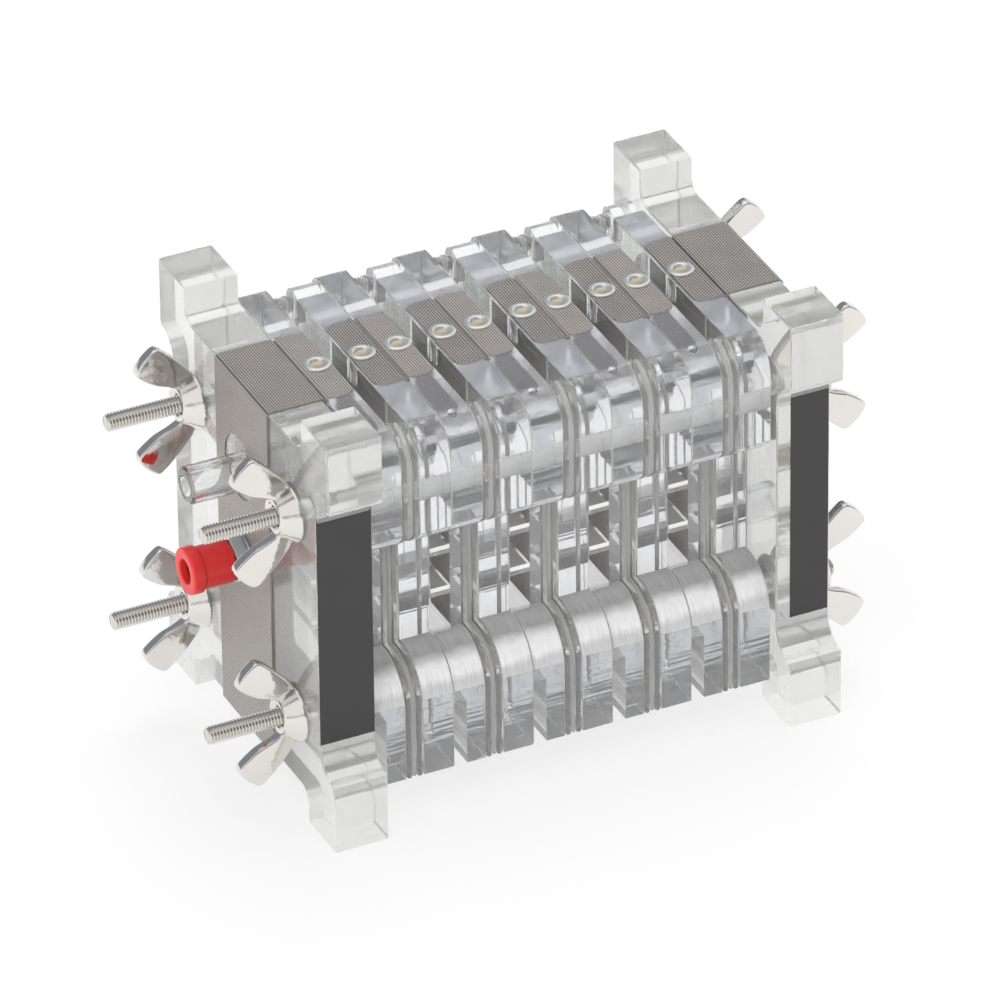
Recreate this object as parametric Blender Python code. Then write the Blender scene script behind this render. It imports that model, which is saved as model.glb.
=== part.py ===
"""A five-cell fuel cell stack with clear end plates, mesh current collectors and wing nuts.

The stack runs along X. The front, where the end plates carry their labels, faces -Y.
Every piece is drawn about the stack's own centre, and one empty then stands the whole
stack on the ground, with the middle of its box's underside at the world origin.
"""
import math

import bmesh
import bpy
from mathutils import Matrix, Vector

MM = 0.001

# Stack layout
CELLS = 5
SEAT = 0.1 * MM                 # clearance between pieces that are pressed together
CUT_OVER = 1.0 * MM             # how far a cutter starts outside the piece it cuts
PLATE_T = 6.95 * MM             # air plate and hydrogen plate
GASKET_T = 1.3 * MM
MEMBRANE_T = 0.82 * MM
END_T = 12.0 * MM

# Tie studs
STUD_Y = 23.3 * MM
STUD_Z = 23.9 * MM
STUD_D = 3.9 * MM
STUD_HOLE_D = 4.6 * MM
STUD_TAIL = 20.0 * MM           # past the left end plate
STUD_HEAD = 6.2 * MM            # past the right end plate
STUD_CHAMFER = 0.5 * MM

# Cell plates, seen along X
EDGE_Y = 33.0 * MM
TOP_Z = 40.3 * MM
BOTTOM_Z = -40.3 * MM
TOP_CORNER_R = 8.0 * MM
BACK_CORNER_R = 2.9 * MM
WAIST_Y = 22.0 * MM
UPPER_LOBE_R = 11.6 * MM
LOBE_CORNER_R = 2.5 * MM
STEP_Y = 24.9 * MM              # where the hydrogen plate's top ends at the back
STEP_Z = 34.5 * MM
PORT_R = 2.9 * MM
PORT_T = 5.5 * MM
PORT_Z = 36.5 * MM

# Air plate's slots
SLOT_T = 4.5 * MM
SLOT_PITCH = 9.7 * MM
SLOT_H = 7.7 * MM
SLOT_MID_Z = -0.4 * MM
DUCT_T = 2.7 * MM
DUCT_TOP_Z = -25.2 * MM

# Active area, in the middle of each cell
ACTIVE = 25.0 * MM
FIELD_T = 1.2 * MM
FIELD_RIB_W = 1.6 * MM
FIELD_RIBS = 3

# Seals
SEAL_CLEAR = 1.0 * MM           # round the active area
SEAL_NOTCH_Y = 25.5 * MM
SEAL_NOTCH_Z = 33.5 * MM

# Mesh current collectors
MESH_T = 0.35 * MM
MESH_W = 25.0 * MM
MESH_FOOT_Z = -38.0 * MM
MESH_POCKET_T = 0.5 * MM
MESH_POCKET_CLEAR = 0.7 * MM    # on each side of the mesh
TAB_SHORT = 0.35 * MM           # the tab ends this far before the plate's other face
TAB_CORNER = 2.0 * MM
EYELET_D = 5.5 * MM
EYELET_BORE_D = 3.1 * MM
EYELET_LIP = 0.55 * MM
EYELET_EDGE = 0.1 * MM
EYELET_SHANK_D = 3.9 * MM
EYELET_SHANK = 3.0 * MM
EYELET_INSET = 3.9 * MM         # from the tab's fold
EYELET_HOLE_D = 4.6 * MM
EYELET_HOLE = 5.5 * MM

# End plates, seen along X
BODY_Y = 34.4 * MM
BODY_Z = 40.5 * MM
FOOT_Y = 40.4 * MM
FOOT_W = 12.5 * MM
FOOT_Z = 47.95 * MM
FOOT_SIDE_H = 15.5 * MM
FOOT_INNER_R = 3.0 * MM
STRIP_FOOT_Z = -41.2 * MM
STRIP_INNER = 30.0 * MM         # how far the strip reaches down between end plate and cell
STRIP_PORT_R = 7.0 * MM         # opening round the nozzle
STRIP_PORT_Y = -1.5 * MM        # the opening isn't quite over the nozzle

# Sockets
SOCKET_BODY_D = 9.0 * MM
SOCKET_HEAD_D = 10.0 * MM
SOCKET_HEAD_T = 2.7 * MM
SOCKET_REACH = 13.65 * MM
SOCKET_ROUND = 0.4 * MM
SOCKET_MOUTH_D = 5.3 * MM
CONTACT_D = 4.6 * MM
CONTACT_BORE_D = 4.0 * MM
CONTACT_RECESS = 1.6 * MM
CONTACT_TAPER = 1.0 * MM
SHANK_D = 5.9 * MM
SHANK_DEPTH = 8.0 * MM
SHANK_HOLE_D = 6.5 * MM
NUT_FLATS = 9.0 * MM
NUT_T = 3.3 * MM
NUT_BORE_D = 6.5 * MM

# Gas nozzles
NOZZLE_Z = 20.3 * MM
NOZZLE_D = 8.0 * MM
NOZZLE_BORE_D = 4.8 * MM
NOZZLE_REACH = 13.0 * MM
NOZZLE_DEPTH = 8.0 * MM
NOZZLE_CHAMFER = 0.5 * MM
PORT_HOLE_D = 3.0 * MM

# Wing nuts
WING_BASE_D = 12.4 * MM
WING_END_D = 8.0 * MM
WING_BOSS = 4.3 * MM
WING_RIM = 0.5 * MM
WING_BORE_D = 4.5 * MM
WING_T = 2.5 * MM
LEFT_TURNS = (0.0, 1.5, 0.0, 0.0)       # degrees, how each nut happens to stand
RIGHT_TURNS = (6.0, 0.0, 0.0, 0.0)

# A wing's outline in mm, from its root at the base round the tip to the boss: (out, radius)
WING_OUTLINE = [(0.4, 3.0), (0.4, 6.6), (3.7, 10.5), (7.9, 14.5), (9.2, 14.8), (11.5, 13.0),
                (13.0, 11.0), (13.3, 9.6), (11.5, 8.0), (9.1, 6.3), (6.3, 5.3), (4.0, 4.1), (3.9, 3.0)]
WING_REACH = max(out for out, radius in WING_OUTLINE) * MM

# Facets
HOLE_SIDES = 8
SEAL_HOLE_SIDES = 6
EYELET_SIDES = 10
SOCKET_SIDES = 16
NOZZLE_SIDES = 16
NUT_SIDES = 12
STUD_SIDES = 12
HEX = 6

# Worked out from the sizes above
MESH_POCKET_W = MESH_W + 2 * MESH_POCKET_CLEAR
TAB_REACH = PLATE_T - TAB_SHORT
PACK_T = 2 * GASKET_T + MEMBRANE_T
CELL_PITCH = 2 * PLATE_T + PACK_T + 5 * SEAT
STACK_L = CELLS * CELL_PITCH
STACK_X0 = -STACK_L / 2
END_GAP = MESH_T + 2 * SEAT             # the end strip lies here
END_INNER_X = STACK_L / 2 + END_GAP
END_OUTER_X = END_INNER_X + END_T
LOWER_LOBE_R = EDGE_Y - STUD_Y
STRIP_OUT = SEAT + MESH_T
NUT_SEAT_X = END_OUTER_X + STRIP_OUT + SEAT
SOCKET_TIP_X = END_OUTER_X + SOCKET_REACH
LEFT_X = -(END_OUTER_X + STUD_TAIL)
RIGHT_X = max(END_OUTER_X + SEAT + WING_REACH, SOCKET_TIP_X, END_OUTER_X + STUD_HEAD)

stack = None


def clear_scene():
    for obj in list(bpy.data.objects):
        bpy.data.objects.remove(obj, do_unlink=True)


def plain_material(name, colour, roughness, metallic=0.0, alpha=1.0):
    material = bpy.data.materials.new(name)
    material.use_nodes = True
    shader = material.node_tree.nodes["Principled BSDF"]
    shader.inputs["Base Color"].default_value = (*colour, 1.0)
    shader.inputs["Roughness"].default_value = roughness
    shader.inputs["Metallic"].default_value = metallic
    shader.inputs["Alpha"].default_value = alpha
    material.diffuse_color = (*colour, alpha)
    return material


# Outlines. A point is (y, z).

def arc(centre, radius, start, end, steps):
    """Points along an arc, angles in degrees from +Y towards +Z."""
    angles = [math.radians(start + (end - start) * i / steps) for i in range(steps + 1)]
    return [(centre[0] + radius * math.cos(a), centre[1] + radius * math.sin(a)) for a in angles]


def circle(centre, diameter, steps):
    return arc(centre, diameter / 2, 0, 360, steps)[:-1]


def flipped(points):
    """The same half outline on the other side of the plate, in the other direction."""
    return [(-y, z) for y, z in reversed(points)]


def upper_lobe(corner_r, steps):
    """The side from the plate's edge round the upper stud to the waist, downwards."""
    stud = (STUD_Y, STUD_Z)
    reach = UPPER_LOBE_R - corner_r
    across = EDGE_Y - corner_r - STUD_Y
    corner = (EDGE_Y - corner_r, STUD_Z - math.sqrt(reach ** 2 - across ** 2))
    meet = math.degrees(math.atan2(corner[1] - STUD_Z, corner[0] - STUD_Y))
    end = -90 - math.degrees(math.asin((STUD_Y - WAIST_Y) / UPPER_LOBE_R))
    points = []
    if corner_r > 0:
        points += arc(corner, corner_r, 0, meet, 2)[:-1]
    return points + arc(stud, UPPER_LOBE_R, meet, end, steps)


def lower_lobe(steps):
    """The side from the waist round the lower stud to the plate's foot, downwards."""
    stud = (STUD_Y, -STUD_Z)
    start = 90 + math.degrees(math.asin((STUD_Y - WAIST_Y) / LOWER_LOBE_R))
    return arc(stud, LOWER_LOBE_R, start, 0, steps) + [(EDGE_Y, BOTTOM_Z)]


def top_corner(radius, steps):
    return arc((EDGE_Y - radius, TOP_Z - radius), radius, 90, 0, steps)


def plate_outline(back_top, corner_r, front_steps=4, lobe_steps=3):
    """A cell plate's outline, from the top of its back round to the top of its front."""
    back = back_top + upper_lobe(corner_r, lobe_steps) + lower_lobe(lobe_steps)
    front = top_corner(TOP_CORNER_R, front_steps) + upper_lobe(corner_r, lobe_steps) + lower_lobe(lobe_steps)
    return back + flipped(front)


def seal_outline():
    """The seals' outline: the plates' own, with a wide notch across the top."""
    centre = (EDGE_Y - TOP_CORNER_R, TOP_Z - TOP_CORNER_R)
    start = 90 - math.degrees(math.asin((SEAL_NOTCH_Y - centre[0]) / TOP_CORNER_R))
    half = [(SEAL_NOTCH_Y, SEAL_NOTCH_Z)] + arc(centre, TOP_CORNER_R, start, 0, 3)
    half += upper_lobe(LOBE_CORNER_R, 3) + lower_lobe(3)
    return half + flipped(half)


def end_outline():
    """One end plate's outline: a block with four square feet, rounded into its sides."""
    side_r = FOOT_Y - BODY_Y
    side_z = FOOT_Z - FOOT_SIDE_H
    inner_y = FOOT_Y - FOOT_W
    quarter = arc((inner_y - FOOT_INNER_R, BODY_Z + FOOT_INNER_R), FOOT_INNER_R, -90, 0, 4)
    quarter += [(inner_y, FOOT_Z), (FOOT_Y, FOOT_Z)]
    quarter += arc((FOOT_Y, side_z - side_r), side_r, 90, 180, 5)
    lower = [(y, -z) for y, z in reversed(quarter)]
    half = quarter + lower
    return half + flipped(half)


def stud_holes(diameter, steps):
    places = [(y, z) for y in (-STUD_Y, STUD_Y) for z in (-STUD_Z, STUD_Z)]
    return [circle(place, diameter, steps) for place in places]


def centred_square(width):
    half = width / 2
    return [(-half, -half), (half, -half), (half, half), (-half, half)]


# Solids

def extrude(bm, faces, vector):
    """Makes a closed solid out of flat faces."""
    extruded = bmesh.ops.extrude_face_region(bm, geom=faces, use_keep_orig=True)
    moved = [item for item in extruded["geom"] if isinstance(item, bmesh.types.BMVert)]
    bmesh.ops.translate(bm, verts=moved, vec=vector)


def prism_mesh(name, outline, holes, thickness):
    """A flat plate in YZ with holes through it, from x = 0 to x = thickness."""
    bm = bmesh.new()
    edges = []
    for loop in [outline] + holes:
        verts = [bm.verts.new((0.0, y, z)) for y, z in loop]
        edges += [bm.edges.new((a, b)) for a, b in zip(verts, verts[1:] + verts[:1])]
    bmesh.ops.triangle_fill(bm, use_beauty=True, edges=edges)
    extrude(bm, bm.faces[:], (thickness, 0.0, 0.0))
    return finished_mesh(name, bm)


def finished_mesh(name, bm):
    bmesh.ops.recalc_face_normals(bm, faces=bm.faces[:])
    mesh = bpy.data.meshes.new(name)
    bm.to_mesh(mesh)
    bm.free()
    return mesh


def turned_mesh(name, profile, steps):
    """A closed profile of (x, radius) points, spun about X."""
    bm = bmesh.new()
    rings = []
    for i in range(steps):
        a = math.tau * i / steps
        rings.append([bm.verts.new((x, r * math.cos(a), r * math.sin(a))) for x, r in profile])
    for ring, following in zip(rings, rings[1:] + rings[:1]):
        for j in range(len(profile)):
            k = (j + 1) % len(profile)
            bm.faces.new((ring[j], ring[k], following[k], following[j]))
    return finished_mesh(name, bm)


def bar_mesh(name, stations, steps):
    """A solid round bar through (x, radius) stations, with flat ends."""
    bm = bmesh.new()
    angles = [math.tau * i / steps for i in range(steps)]
    rings = [[bm.verts.new((x, r * math.cos(a), r * math.sin(a))) for a in angles] for x, r in stations]
    for ring, following in zip(rings, rings[1:]):
        for j in range(steps):
            k = (j + 1) % steps
            bm.faces.new((ring[j], ring[k], following[k], following[j]))
    bm.faces.new(rings[0])
    bm.faces.new(rings[-1])
    return finished_mesh(name, bm)


def box_mesh(name, low, high):
    bm = bmesh.new()
    bmesh.ops.create_cube(bm, size=1.0)
    size = Vector(high) - Vector(low)
    middle = (Vector(high) + Vector(low)) / 2
    bm.transform(Matrix.Translation(middle) @ Matrix.Diagonal((*size, 1.0)))
    return finished_mesh(name, bm)


def rod_mesh(name, start, direction, length, diameter, steps):
    """A plain round rod, used to bore a hole or to add a boss."""
    bm = bmesh.new()
    bmesh.ops.create_cone(bm, cap_ends=True, segments=steps, radius1=diameter / 2,
                          radius2=diameter / 2, depth=length)
    turn = Vector((0, 0, 1)).rotation_difference(Vector(direction)).to_matrix().to_4x4()
    middle = Vector(start) + Vector(direction) * (length / 2)
    bm.transform(Matrix.Translation(middle) @ turn)
    return finished_mesh(name, bm)


def combined(mesh, steps):
    """Applies (operation, tool mesh) steps to a mesh and returns the result."""
    work = bpy.data.objects.new("work", mesh)
    bpy.context.scene.collection.objects.link(work)
    tools = []
    for operation, tool_mesh in steps:
        tool = bpy.data.objects.new("tool", tool_mesh)
        bpy.context.scene.collection.objects.link(tool)
        tools.append(tool)
        modifier = work.modifiers.new("cut", "BOOLEAN")
        modifier.operation = operation
        modifier.solver = "EXACT"
        modifier.object = tool
    bpy.context.view_layer.update()
    graph = bpy.context.evaluated_depsgraph_get()
    result = bpy.data.meshes.new_from_object(work.evaluated_get(graph))
    result.name = mesh.name
    for obj in [work] + tools:
        bpy.data.objects.remove(obj, do_unlink=True)
    return result


def place(name, mesh, material, location=(0.0, 0.0, 0.0), turn=None, smooth=35.0):
    """One named piece of the stack."""
    if not mesh.materials:
        mesh.materials.append(material)
    mesh.shade_smooth()
    mesh.set_sharp_from_angle(angle=math.radians(smooth))
    obj = bpy.data.objects.new(name, mesh)
    bpy.context.scene.collection.objects.link(obj)
    obj.parent = stack
    obj.location = location
    if turn is not None:
        obj.rotation_euler = turn
    return obj


# Cell pieces

def slot_heights():
    """The air slots' lowest and highest points, the top one ending at the waist's top."""
    waist_top = upper_lobe(LOBE_CORNER_R, 1)[-1][1]
    heights = []
    for i in (-1, 0, 1):
        middle = SLOT_MID_Z + i * SLOT_PITCH
        low, high = middle - SLOT_H / 2, middle + SLOT_H / 2
        heights.append((low, min(high, waist_top - SEAT)))
    return heights


def eyelet_hole(x):
    start = (x, 0, TOP_Z - EYELET_HOLE)
    return rod_mesh("eyelet_hole", start, (0, 0, 1), EYELET_HOLE + CUT_OVER, EYELET_HOLE_D, HOLE_SIDES)


def mesh_pocket(x_face, inwards):
    """A shallow recess in a plate's face, where the collector's leg lies."""
    half = MESH_POCKET_W / 2
    low_x, high_x = sorted((x_face - inwards * CUT_OVER, x_face + inwards * MESH_POCKET_T))
    low_z, high_z = MESH_FOOT_Z - MESH_POCKET_CLEAR, TOP_Z + CUT_OVER
    return box_mesh("pocket", (low_x, -half, low_z), (high_x, half, high_z))


def air_plate_mesh():
    """Open to the air through three slots front to back, and through a duct at its foot."""
    outline = plate_outline(top_corner(BACK_CORNER_R, 3), LOBE_CORNER_R)
    mesh = prism_mesh("air_plate", outline, stud_holes(STUD_HOLE_D, HOLE_SIDES), PLATE_T)
    wide = EDGE_Y + CUT_OVER
    half = ACTIVE / 2
    cuts = [("DIFFERENCE", mesh_pocket(0, 1))]
    cuts += [("DIFFERENCE", box_mesh("slot", (-CUT_OVER, -wide, low), (SLOT_T, wide, high)))
             for low, high in slot_heights()]
    inner, outer = SLOT_T - CUT_OVER, PLATE_T + CUT_OVER
    cuts += [("DIFFERENCE", box_mesh("window", (inner, -half, low), (outer, half, high)))
             for low, high in slot_heights()]
    duct = box_mesh("duct", (-CUT_OVER, -wide, BOTTOM_Z - CUT_OVER), (DUCT_T, wide, DUCT_TOP_Z))
    cuts.append(("DIFFERENCE", duct))
    cuts.append(("DIFFERENCE", eyelet_hole(EYELET_INSET)))
    return combined(mesh, cuts)


def hydrogen_plate_mesh():
    """Closed at its edges, with a ribbed gas pocket and a round port lobe at the back."""
    back_top = [(STEP_Y, TOP_Z), (STEP_Y, STEP_Z), (EDGE_Y, STEP_Z)]
    outline = plate_outline(back_top, 0.0)
    mesh = prism_mesh("hydrogen_plate", outline, stud_holes(STUD_HOLE_D, HOLE_SIDES), PLATE_T)
    port = rod_mesh("port", (PLATE_T - PORT_T, EDGE_Y - PORT_R, PORT_Z), (1, 0, 0), PORT_T, 2 * PORT_R, 16)
    half = ACTIVE / 2
    channels = FIELD_RIBS + 1
    channel_w = (ACTIVE - FIELD_RIBS * FIELD_RIB_W) / channels
    steps = [("UNION", port), ("DIFFERENCE", mesh_pocket(PLATE_T, -1))]
    for i in range(channels):
        low = -half + i * (channel_w + FIELD_RIB_W)
        cut = box_mesh("channel", (-CUT_OVER, low, -half), (FIELD_T, low + channel_w, half))
        steps.append(("DIFFERENCE", cut))
    steps.append(("DIFFERENCE", eyelet_hole(PLATE_T - EYELET_INSET)))
    return combined(mesh, steps)


def collector_mesh():
    """A mesh strip folded over the plate's top, with the eyelet that rivets it down.

    The leg hangs from the fold at x = 0, and the tab reaches towards +X.
    """
    half = MESH_W / 2
    top = TOP_Z + SEAT
    leg = box_mesh("collector", (0, -half, MESH_FOOT_Z), (MESH_T, half, top + MESH_T / 2))
    tab_outline = [(0.0, -half), (TAB_REACH - TAB_CORNER, -half), (TAB_REACH, -half + TAB_CORNER),
                   (TAB_REACH, half - TAB_CORNER), (TAB_REACH - TAB_CORNER, half), (0.0, half)]
    bm = bmesh.new()
    face = bm.faces.new([bm.verts.new((x, y, top)) for x, y in tab_outline])
    extrude(bm, [face], (0, 0, MESH_T))
    tab = finished_mesh("tab", bm)
    lip_z = top + MESH_T
    bore, shank, lip = EYELET_BORE_D / 2, EYELET_SHANK_D / 2, EYELET_D / 2
    profile = [(lip_z + EYELET_LIP, bore + EYELET_EDGE), (lip_z + EYELET_LIP, lip - EYELET_LIP),
               (lip_z - MESH_T / 2, lip), (lip_z - MESH_T / 2, shank), (top - EYELET_SHANK, shank),
               (top - EYELET_SHANK, bore)]
    eyelet = turned_mesh("eyelet", profile, EYELET_SIDES)
    stand = Matrix.Translation((EYELET_INSET, 0, 0)) @ Matrix.Rotation(-math.pi / 2, 4, "Y")
    eyelet.transform(stand)
    bore_tool = rod_mesh("bore", (EYELET_INSET, 0, top - EYELET_SHANK), (0, 0, 1), 2 * EYELET_SHANK,
                         EYELET_BORE_D + EYELET_EDGE, EYELET_SIDES)
    return combined(leg, [("UNION", tab), ("DIFFERENCE", bore_tool), ("UNION", eyelet)])


def mirrored(mesh, name):
    copy = mesh.copy()
    copy.name = name
    copy.transform(Matrix.Diagonal((-1.0, 1.0, 1.0, 1.0)))
    copy.flip_normals()
    return copy


def add_cells(materials):
    air = air_plate_mesh()
    hydrogen = hydrogen_plate_mesh()
    seal_window = centred_square(ACTIVE + 2 * SEAL_CLEAR)
    seal_holes = stud_holes(STUD_HOLE_D, SEAL_HOLE_SIDES)
    gasket = prism_mesh("gasket", seal_outline(), seal_holes + [seal_window], GASKET_T)
    membrane = prism_mesh("membrane", seal_outline(), seal_holes, MEMBRANE_T)
    collector = collector_mesh()
    mirror_collector = mirrored(collector, "collector_mirrored")
    seam = SEAT / 2
    for i in range(CELLS):
        tag = str(i + 1)
        x = STACK_X0 + i * CELL_PITCH + seam
        place("air_plate_" + tag, air, materials["acrylic"], (x, 0, 0))
        place("air_collector_" + tag, collector, materials["mesh"], (x, 0, 0))
        x += PLATE_T + SEAT
        place("air_gasket_" + tag, gasket, materials["seal"], (x, 0, 0))
        x += GASKET_T + SEAT
        place("membrane_" + tag, membrane, materials["membrane"], (x, 0, 0))
        x += MEMBRANE_T + SEAT
        place("hydrogen_gasket_" + tag, gasket, materials["seal"], (x, 0, 0))
        x += GASKET_T + SEAT
        place("hydrogen_plate_" + tag, hydrogen, materials["acrylic"], (x, 0, 0))
        x += PLATE_T
        place("hydrogen_collector_" + tag, mirror_collector, materials["mesh"], (x, 0, 0))


# End pieces, drawn for the right end, whose outer face looks along +X

def end_plate_mesh(nozzle_z):
    holes = stud_holes(STUD_HOLE_D, 12)
    holes += [circle((0, 0), SHANK_HOLE_D, 16), circle((0, nozzle_z), PORT_HOLE_D, HOLE_SIDES)]
    mesh = prism_mesh("end_plate", end_outline(), holes, END_T)
    seat_depth = NOZZLE_DEPTH + SEAT
    start = (END_T + CUT_OVER, 0, nozzle_z)
    seat = rod_mesh("seat", start, (-1, 0, 0), seat_depth + CUT_OVER, NOZZLE_D + 2 * SEAT, NOZZLE_SIDES)
    return combined(mesh, [("DIFFERENCE", seat)])


def strip_mesh(nozzle_z):
    """A mesh strip bent over the end plate's top, with openings for nozzle and socket."""
    half = MESH_W / 2
    top = BODY_Z + SEAT
    inner, outer = END_INNER_X - SEAT, END_OUTER_X + SEAT
    profile = [(inner, top - STRIP_INNER), (inner, top), (outer, top), (outer, STRIP_FOOT_Z),
               (outer + MESH_T, STRIP_FOOT_Z), (outer + MESH_T, top + MESH_T),
               (inner - MESH_T, top + MESH_T), (inner - MESH_T, top - STRIP_INNER)]
    bm = bmesh.new()
    face = bm.faces.new([bm.verts.new((x, -half, z)) for x, z in profile])
    extrude(bm, [face], (0, MESH_W, 0))
    strip = finished_mesh("end_strip", bm)
    start, reach = outer - CUT_OVER, MESH_T + 2 * CUT_OVER
    port = (start, STRIP_PORT_Y, nozzle_z)
    nozzle = rod_mesh("port", port, (1, 0, 0), reach, 2 * STRIP_PORT_R, NOZZLE_SIDES)
    shank = rod_mesh("shank", (start, 0, 0), (1, 0, 0), reach, SHANK_HOLE_D, HOLE_SIDES)
    return combined(strip, [("DIFFERENCE", nozzle), ("DIFFERENCE", shank)])


def socket_cap_mesh():
    """The plastic cap: a wide head, a narrower body and a bore down to the nut."""
    base = NUT_SEAT_X + NUT_T + SEAT
    body, head = SOCKET_BODY_D / 2, SOCKET_HEAD_D / 2
    neck = SOCKET_TIP_X - SOCKET_HEAD_T
    round_off = SOCKET_ROUND
    profile = [(base, SHANK_D / 2 + 3 * SEAT), (base, body), (neck, body), (neck + round_off, head),
               (SOCKET_TIP_X - round_off, head), (SOCKET_TIP_X, head - round_off),
               (SOCKET_TIP_X, SOCKET_MOUTH_D / 2), (SOCKET_TIP_X - CONTACT_RECESS, SOCKET_MOUTH_D / 2),
               (SOCKET_TIP_X - CONTACT_RECESS - CONTACT_TAPER, SHANK_D / 2 + 3 * SEAT)]
    return turned_mesh("socket_cap", profile, SOCKET_SIDES)


def socket_contact_mesh():
    """The metal sleeve inside the cap, with the shank that screws into the end plate."""
    start = END_OUTER_X - SHANK_DEPTH
    end = SOCKET_TIP_X - CONTACT_RECESS - 3 * SEAT
    shank, sleeve = SHANK_D / 2, CONTACT_D / 2 + SEAT
    profile = [(start, CONTACT_BORE_D / 2), (start, shank), (end - CONTACT_TAPER, shank), (end, sleeve),
               (end, CONTACT_BORE_D / 2)]
    return turned_mesh("socket_contact", profile, SOCKET_SIDES)


def hex_nut_mesh():
    half_side = math.pi / HEX
    corner_r = NUT_FLATS / 2 / math.cos(half_side)
    corners = [math.tau * i / HEX + half_side for i in range(HEX)]
    outline = [(corner_r * math.cos(a), corner_r * math.sin(a)) for a in corners]
    mesh = prism_mesh("socket_nut", outline, [circle((0, 0), NUT_BORE_D, NUT_SIDES)], NUT_T)
    mesh.transform(Matrix.Translation((NUT_SEAT_X, 0, 0)))
    return mesh


def nozzle_mesh(nozzle_z):
    start, tip = END_OUTER_X - NOZZLE_DEPTH, END_OUTER_X + NOZZLE_REACH
    outer, bore = NOZZLE_D / 2, NOZZLE_BORE_D / 2
    profile = [(start, bore), (start, outer), (tip - NOZZLE_CHAMFER, outer), (tip, outer - NOZZLE_CHAMFER),
               (tip, bore)]
    mesh = turned_mesh("nozzle", profile, NOZZLE_SIDES)
    mesh.transform(Matrix.Translation((0, 0, nozzle_z)))
    return mesh


def wing_mesh(side):
    """One wing, a flat blade that leans outwards from the boss."""
    bm = bmesh.new()
    face = bm.faces.new([bm.verts.new((out * MM, -WING_T / 2, side * r * MM)) for out, r in WING_OUTLINE])
    extrude(bm, [face], (0, WING_T, 0))
    return finished_mesh("wing", bm)


def wing_nut_mesh():
    """Boss and two wings, about its own axis with its seat at x = 0."""
    bore, base, end = WING_BORE_D / 2, WING_BASE_D / 2, WING_END_D / 2
    profile = [(0, bore), (0, base), (WING_RIM, base), (WING_BOSS - WING_RIM, end),
               (WING_BOSS, end - WING_RIM), (WING_BOSS, bore)]
    boss = turned_mesh("wing_nut", profile, NUT_SIDES)
    hole = rod_mesh("hole", (-CUT_OVER, 0, 0), (1, 0, 0), WING_REACH, WING_BORE_D, NUT_SIDES)
    return combined(boss, [("UNION", wing_mesh(1)), ("UNION", wing_mesh(-1)), ("DIFFERENCE", hole)])


def add_end(side, materials):
    """One end's plate, strip, socket, nozzle and wing nuts; side is -1 on the left."""
    label = "left" if side < 0 else "right"
    nozzle_z = NOZZLE_Z if side < 0 else -NOZZLE_Z
    turn = (0, 0, math.pi) if side < 0 else None
    role = "inlet" if side < 0 else "outlet"
    pole = "positive" if side < 0 else "negative"
    plate = end_plate_mesh(nozzle_z)
    plate.transform(Matrix.Translation((END_INNER_X, 0, 0)))
    strip = strip_mesh(nozzle_z)
    nozzle = nozzle_mesh(nozzle_z)
    place("end_plate_" + label, plate, materials["acrylic"], turn=turn)
    place("end_strip_" + label, strip, materials["mesh"], turn=turn)
    place("gas_" + role + "_nozzle", nozzle, materials["acrylic"], turn=turn)
    place(pole + "_socket_cap", socket_cap_mesh(), materials[pole], turn=turn)
    place(pole + "_socket_contact", socket_contact_mesh(), materials["nickel"], turn=turn)
    place(pole + "_socket_nut", hex_nut_mesh(), materials["zinc"], turn=turn)


def add_wing_nuts(materials):
    nut = wing_nut_mesh()
    corners = [(y, z) for z in (STUD_Z, -STUD_Z) for y in (STUD_Y, -STUD_Y)]
    seat_x = END_OUTER_X + SEAT
    for i, (y, z) in enumerate(corners):
        tag = str(i + 1)
        left_turn = (math.radians(LEFT_TURNS[i]), 0, math.pi)
        right_turn = (math.radians(RIGHT_TURNS[i]), 0, 0)
        place("wing_nut_left_" + tag, nut, materials["nickel"], (-seat_x, y, z), left_turn)
        place("wing_nut_right_" + tag, nut, materials["nickel"], (seat_x, y, z), right_turn)


def add_studs(materials):
    start, end = LEFT_X, END_OUTER_X + STUD_HEAD
    radius = STUD_D / 2
    tip = radius - STUD_CHAMFER
    stations = [(start, tip), (start + STUD_CHAMFER, radius), (end - STUD_CHAMFER, radius), (end, tip)]
    stud = bar_mesh("tie_stud", stations, STUD_SIDES)
    corners = [(y, z) for z in (STUD_Z, -STUD_Z) for y in (STUD_Y, -STUD_Y)]
    for i, (y, z) in enumerate(corners):
        place("tie_stud_" + str(i + 1), stud, materials["steel"], (0, y, z))


def main():
    global stack
    clear_scene()
    materials = {
        "acrylic": plain_material("clear_acrylic", (0.86, 0.88, 0.87), 0.05, alpha=0.35),
        "seal": plain_material("clear_seal", (0.80, 0.81, 0.80), 0.3, alpha=0.5),
        "membrane": plain_material("membrane_film", (0.72, 0.70, 0.66), 0.4, alpha=0.7),
        "mesh": plain_material("steel_mesh", (0.52, 0.49, 0.46), 0.4, 1.0),
        "steel": plain_material("stud_steel", (0.62, 0.60, 0.57), 0.25, 1.0),
        "nickel": plain_material("nickel_plate", (0.68, 0.66, 0.62), 0.12, 1.0),
        "zinc": plain_material("zinc_plate", (0.55, 0.58, 0.58), 0.35, 1.0),
        "positive": plain_material("red_plastic", (0.70, 0.03, 0.03), 0.35),
        "negative": plain_material("black_plastic", (0.02, 0.02, 0.02), 0.35),
    }
    stack = bpy.data.objects.new("stack", None)
    bpy.context.scene.collection.objects.link(stack)
    stack.location = (-(LEFT_X + RIGHT_X) / 2, 0, FOOT_Z)
    add_cells(materials)
    add_end(-1, materials)
    add_end(1, materials)
    add_wing_nuts(materials)
    add_studs(materials)


main()
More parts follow.
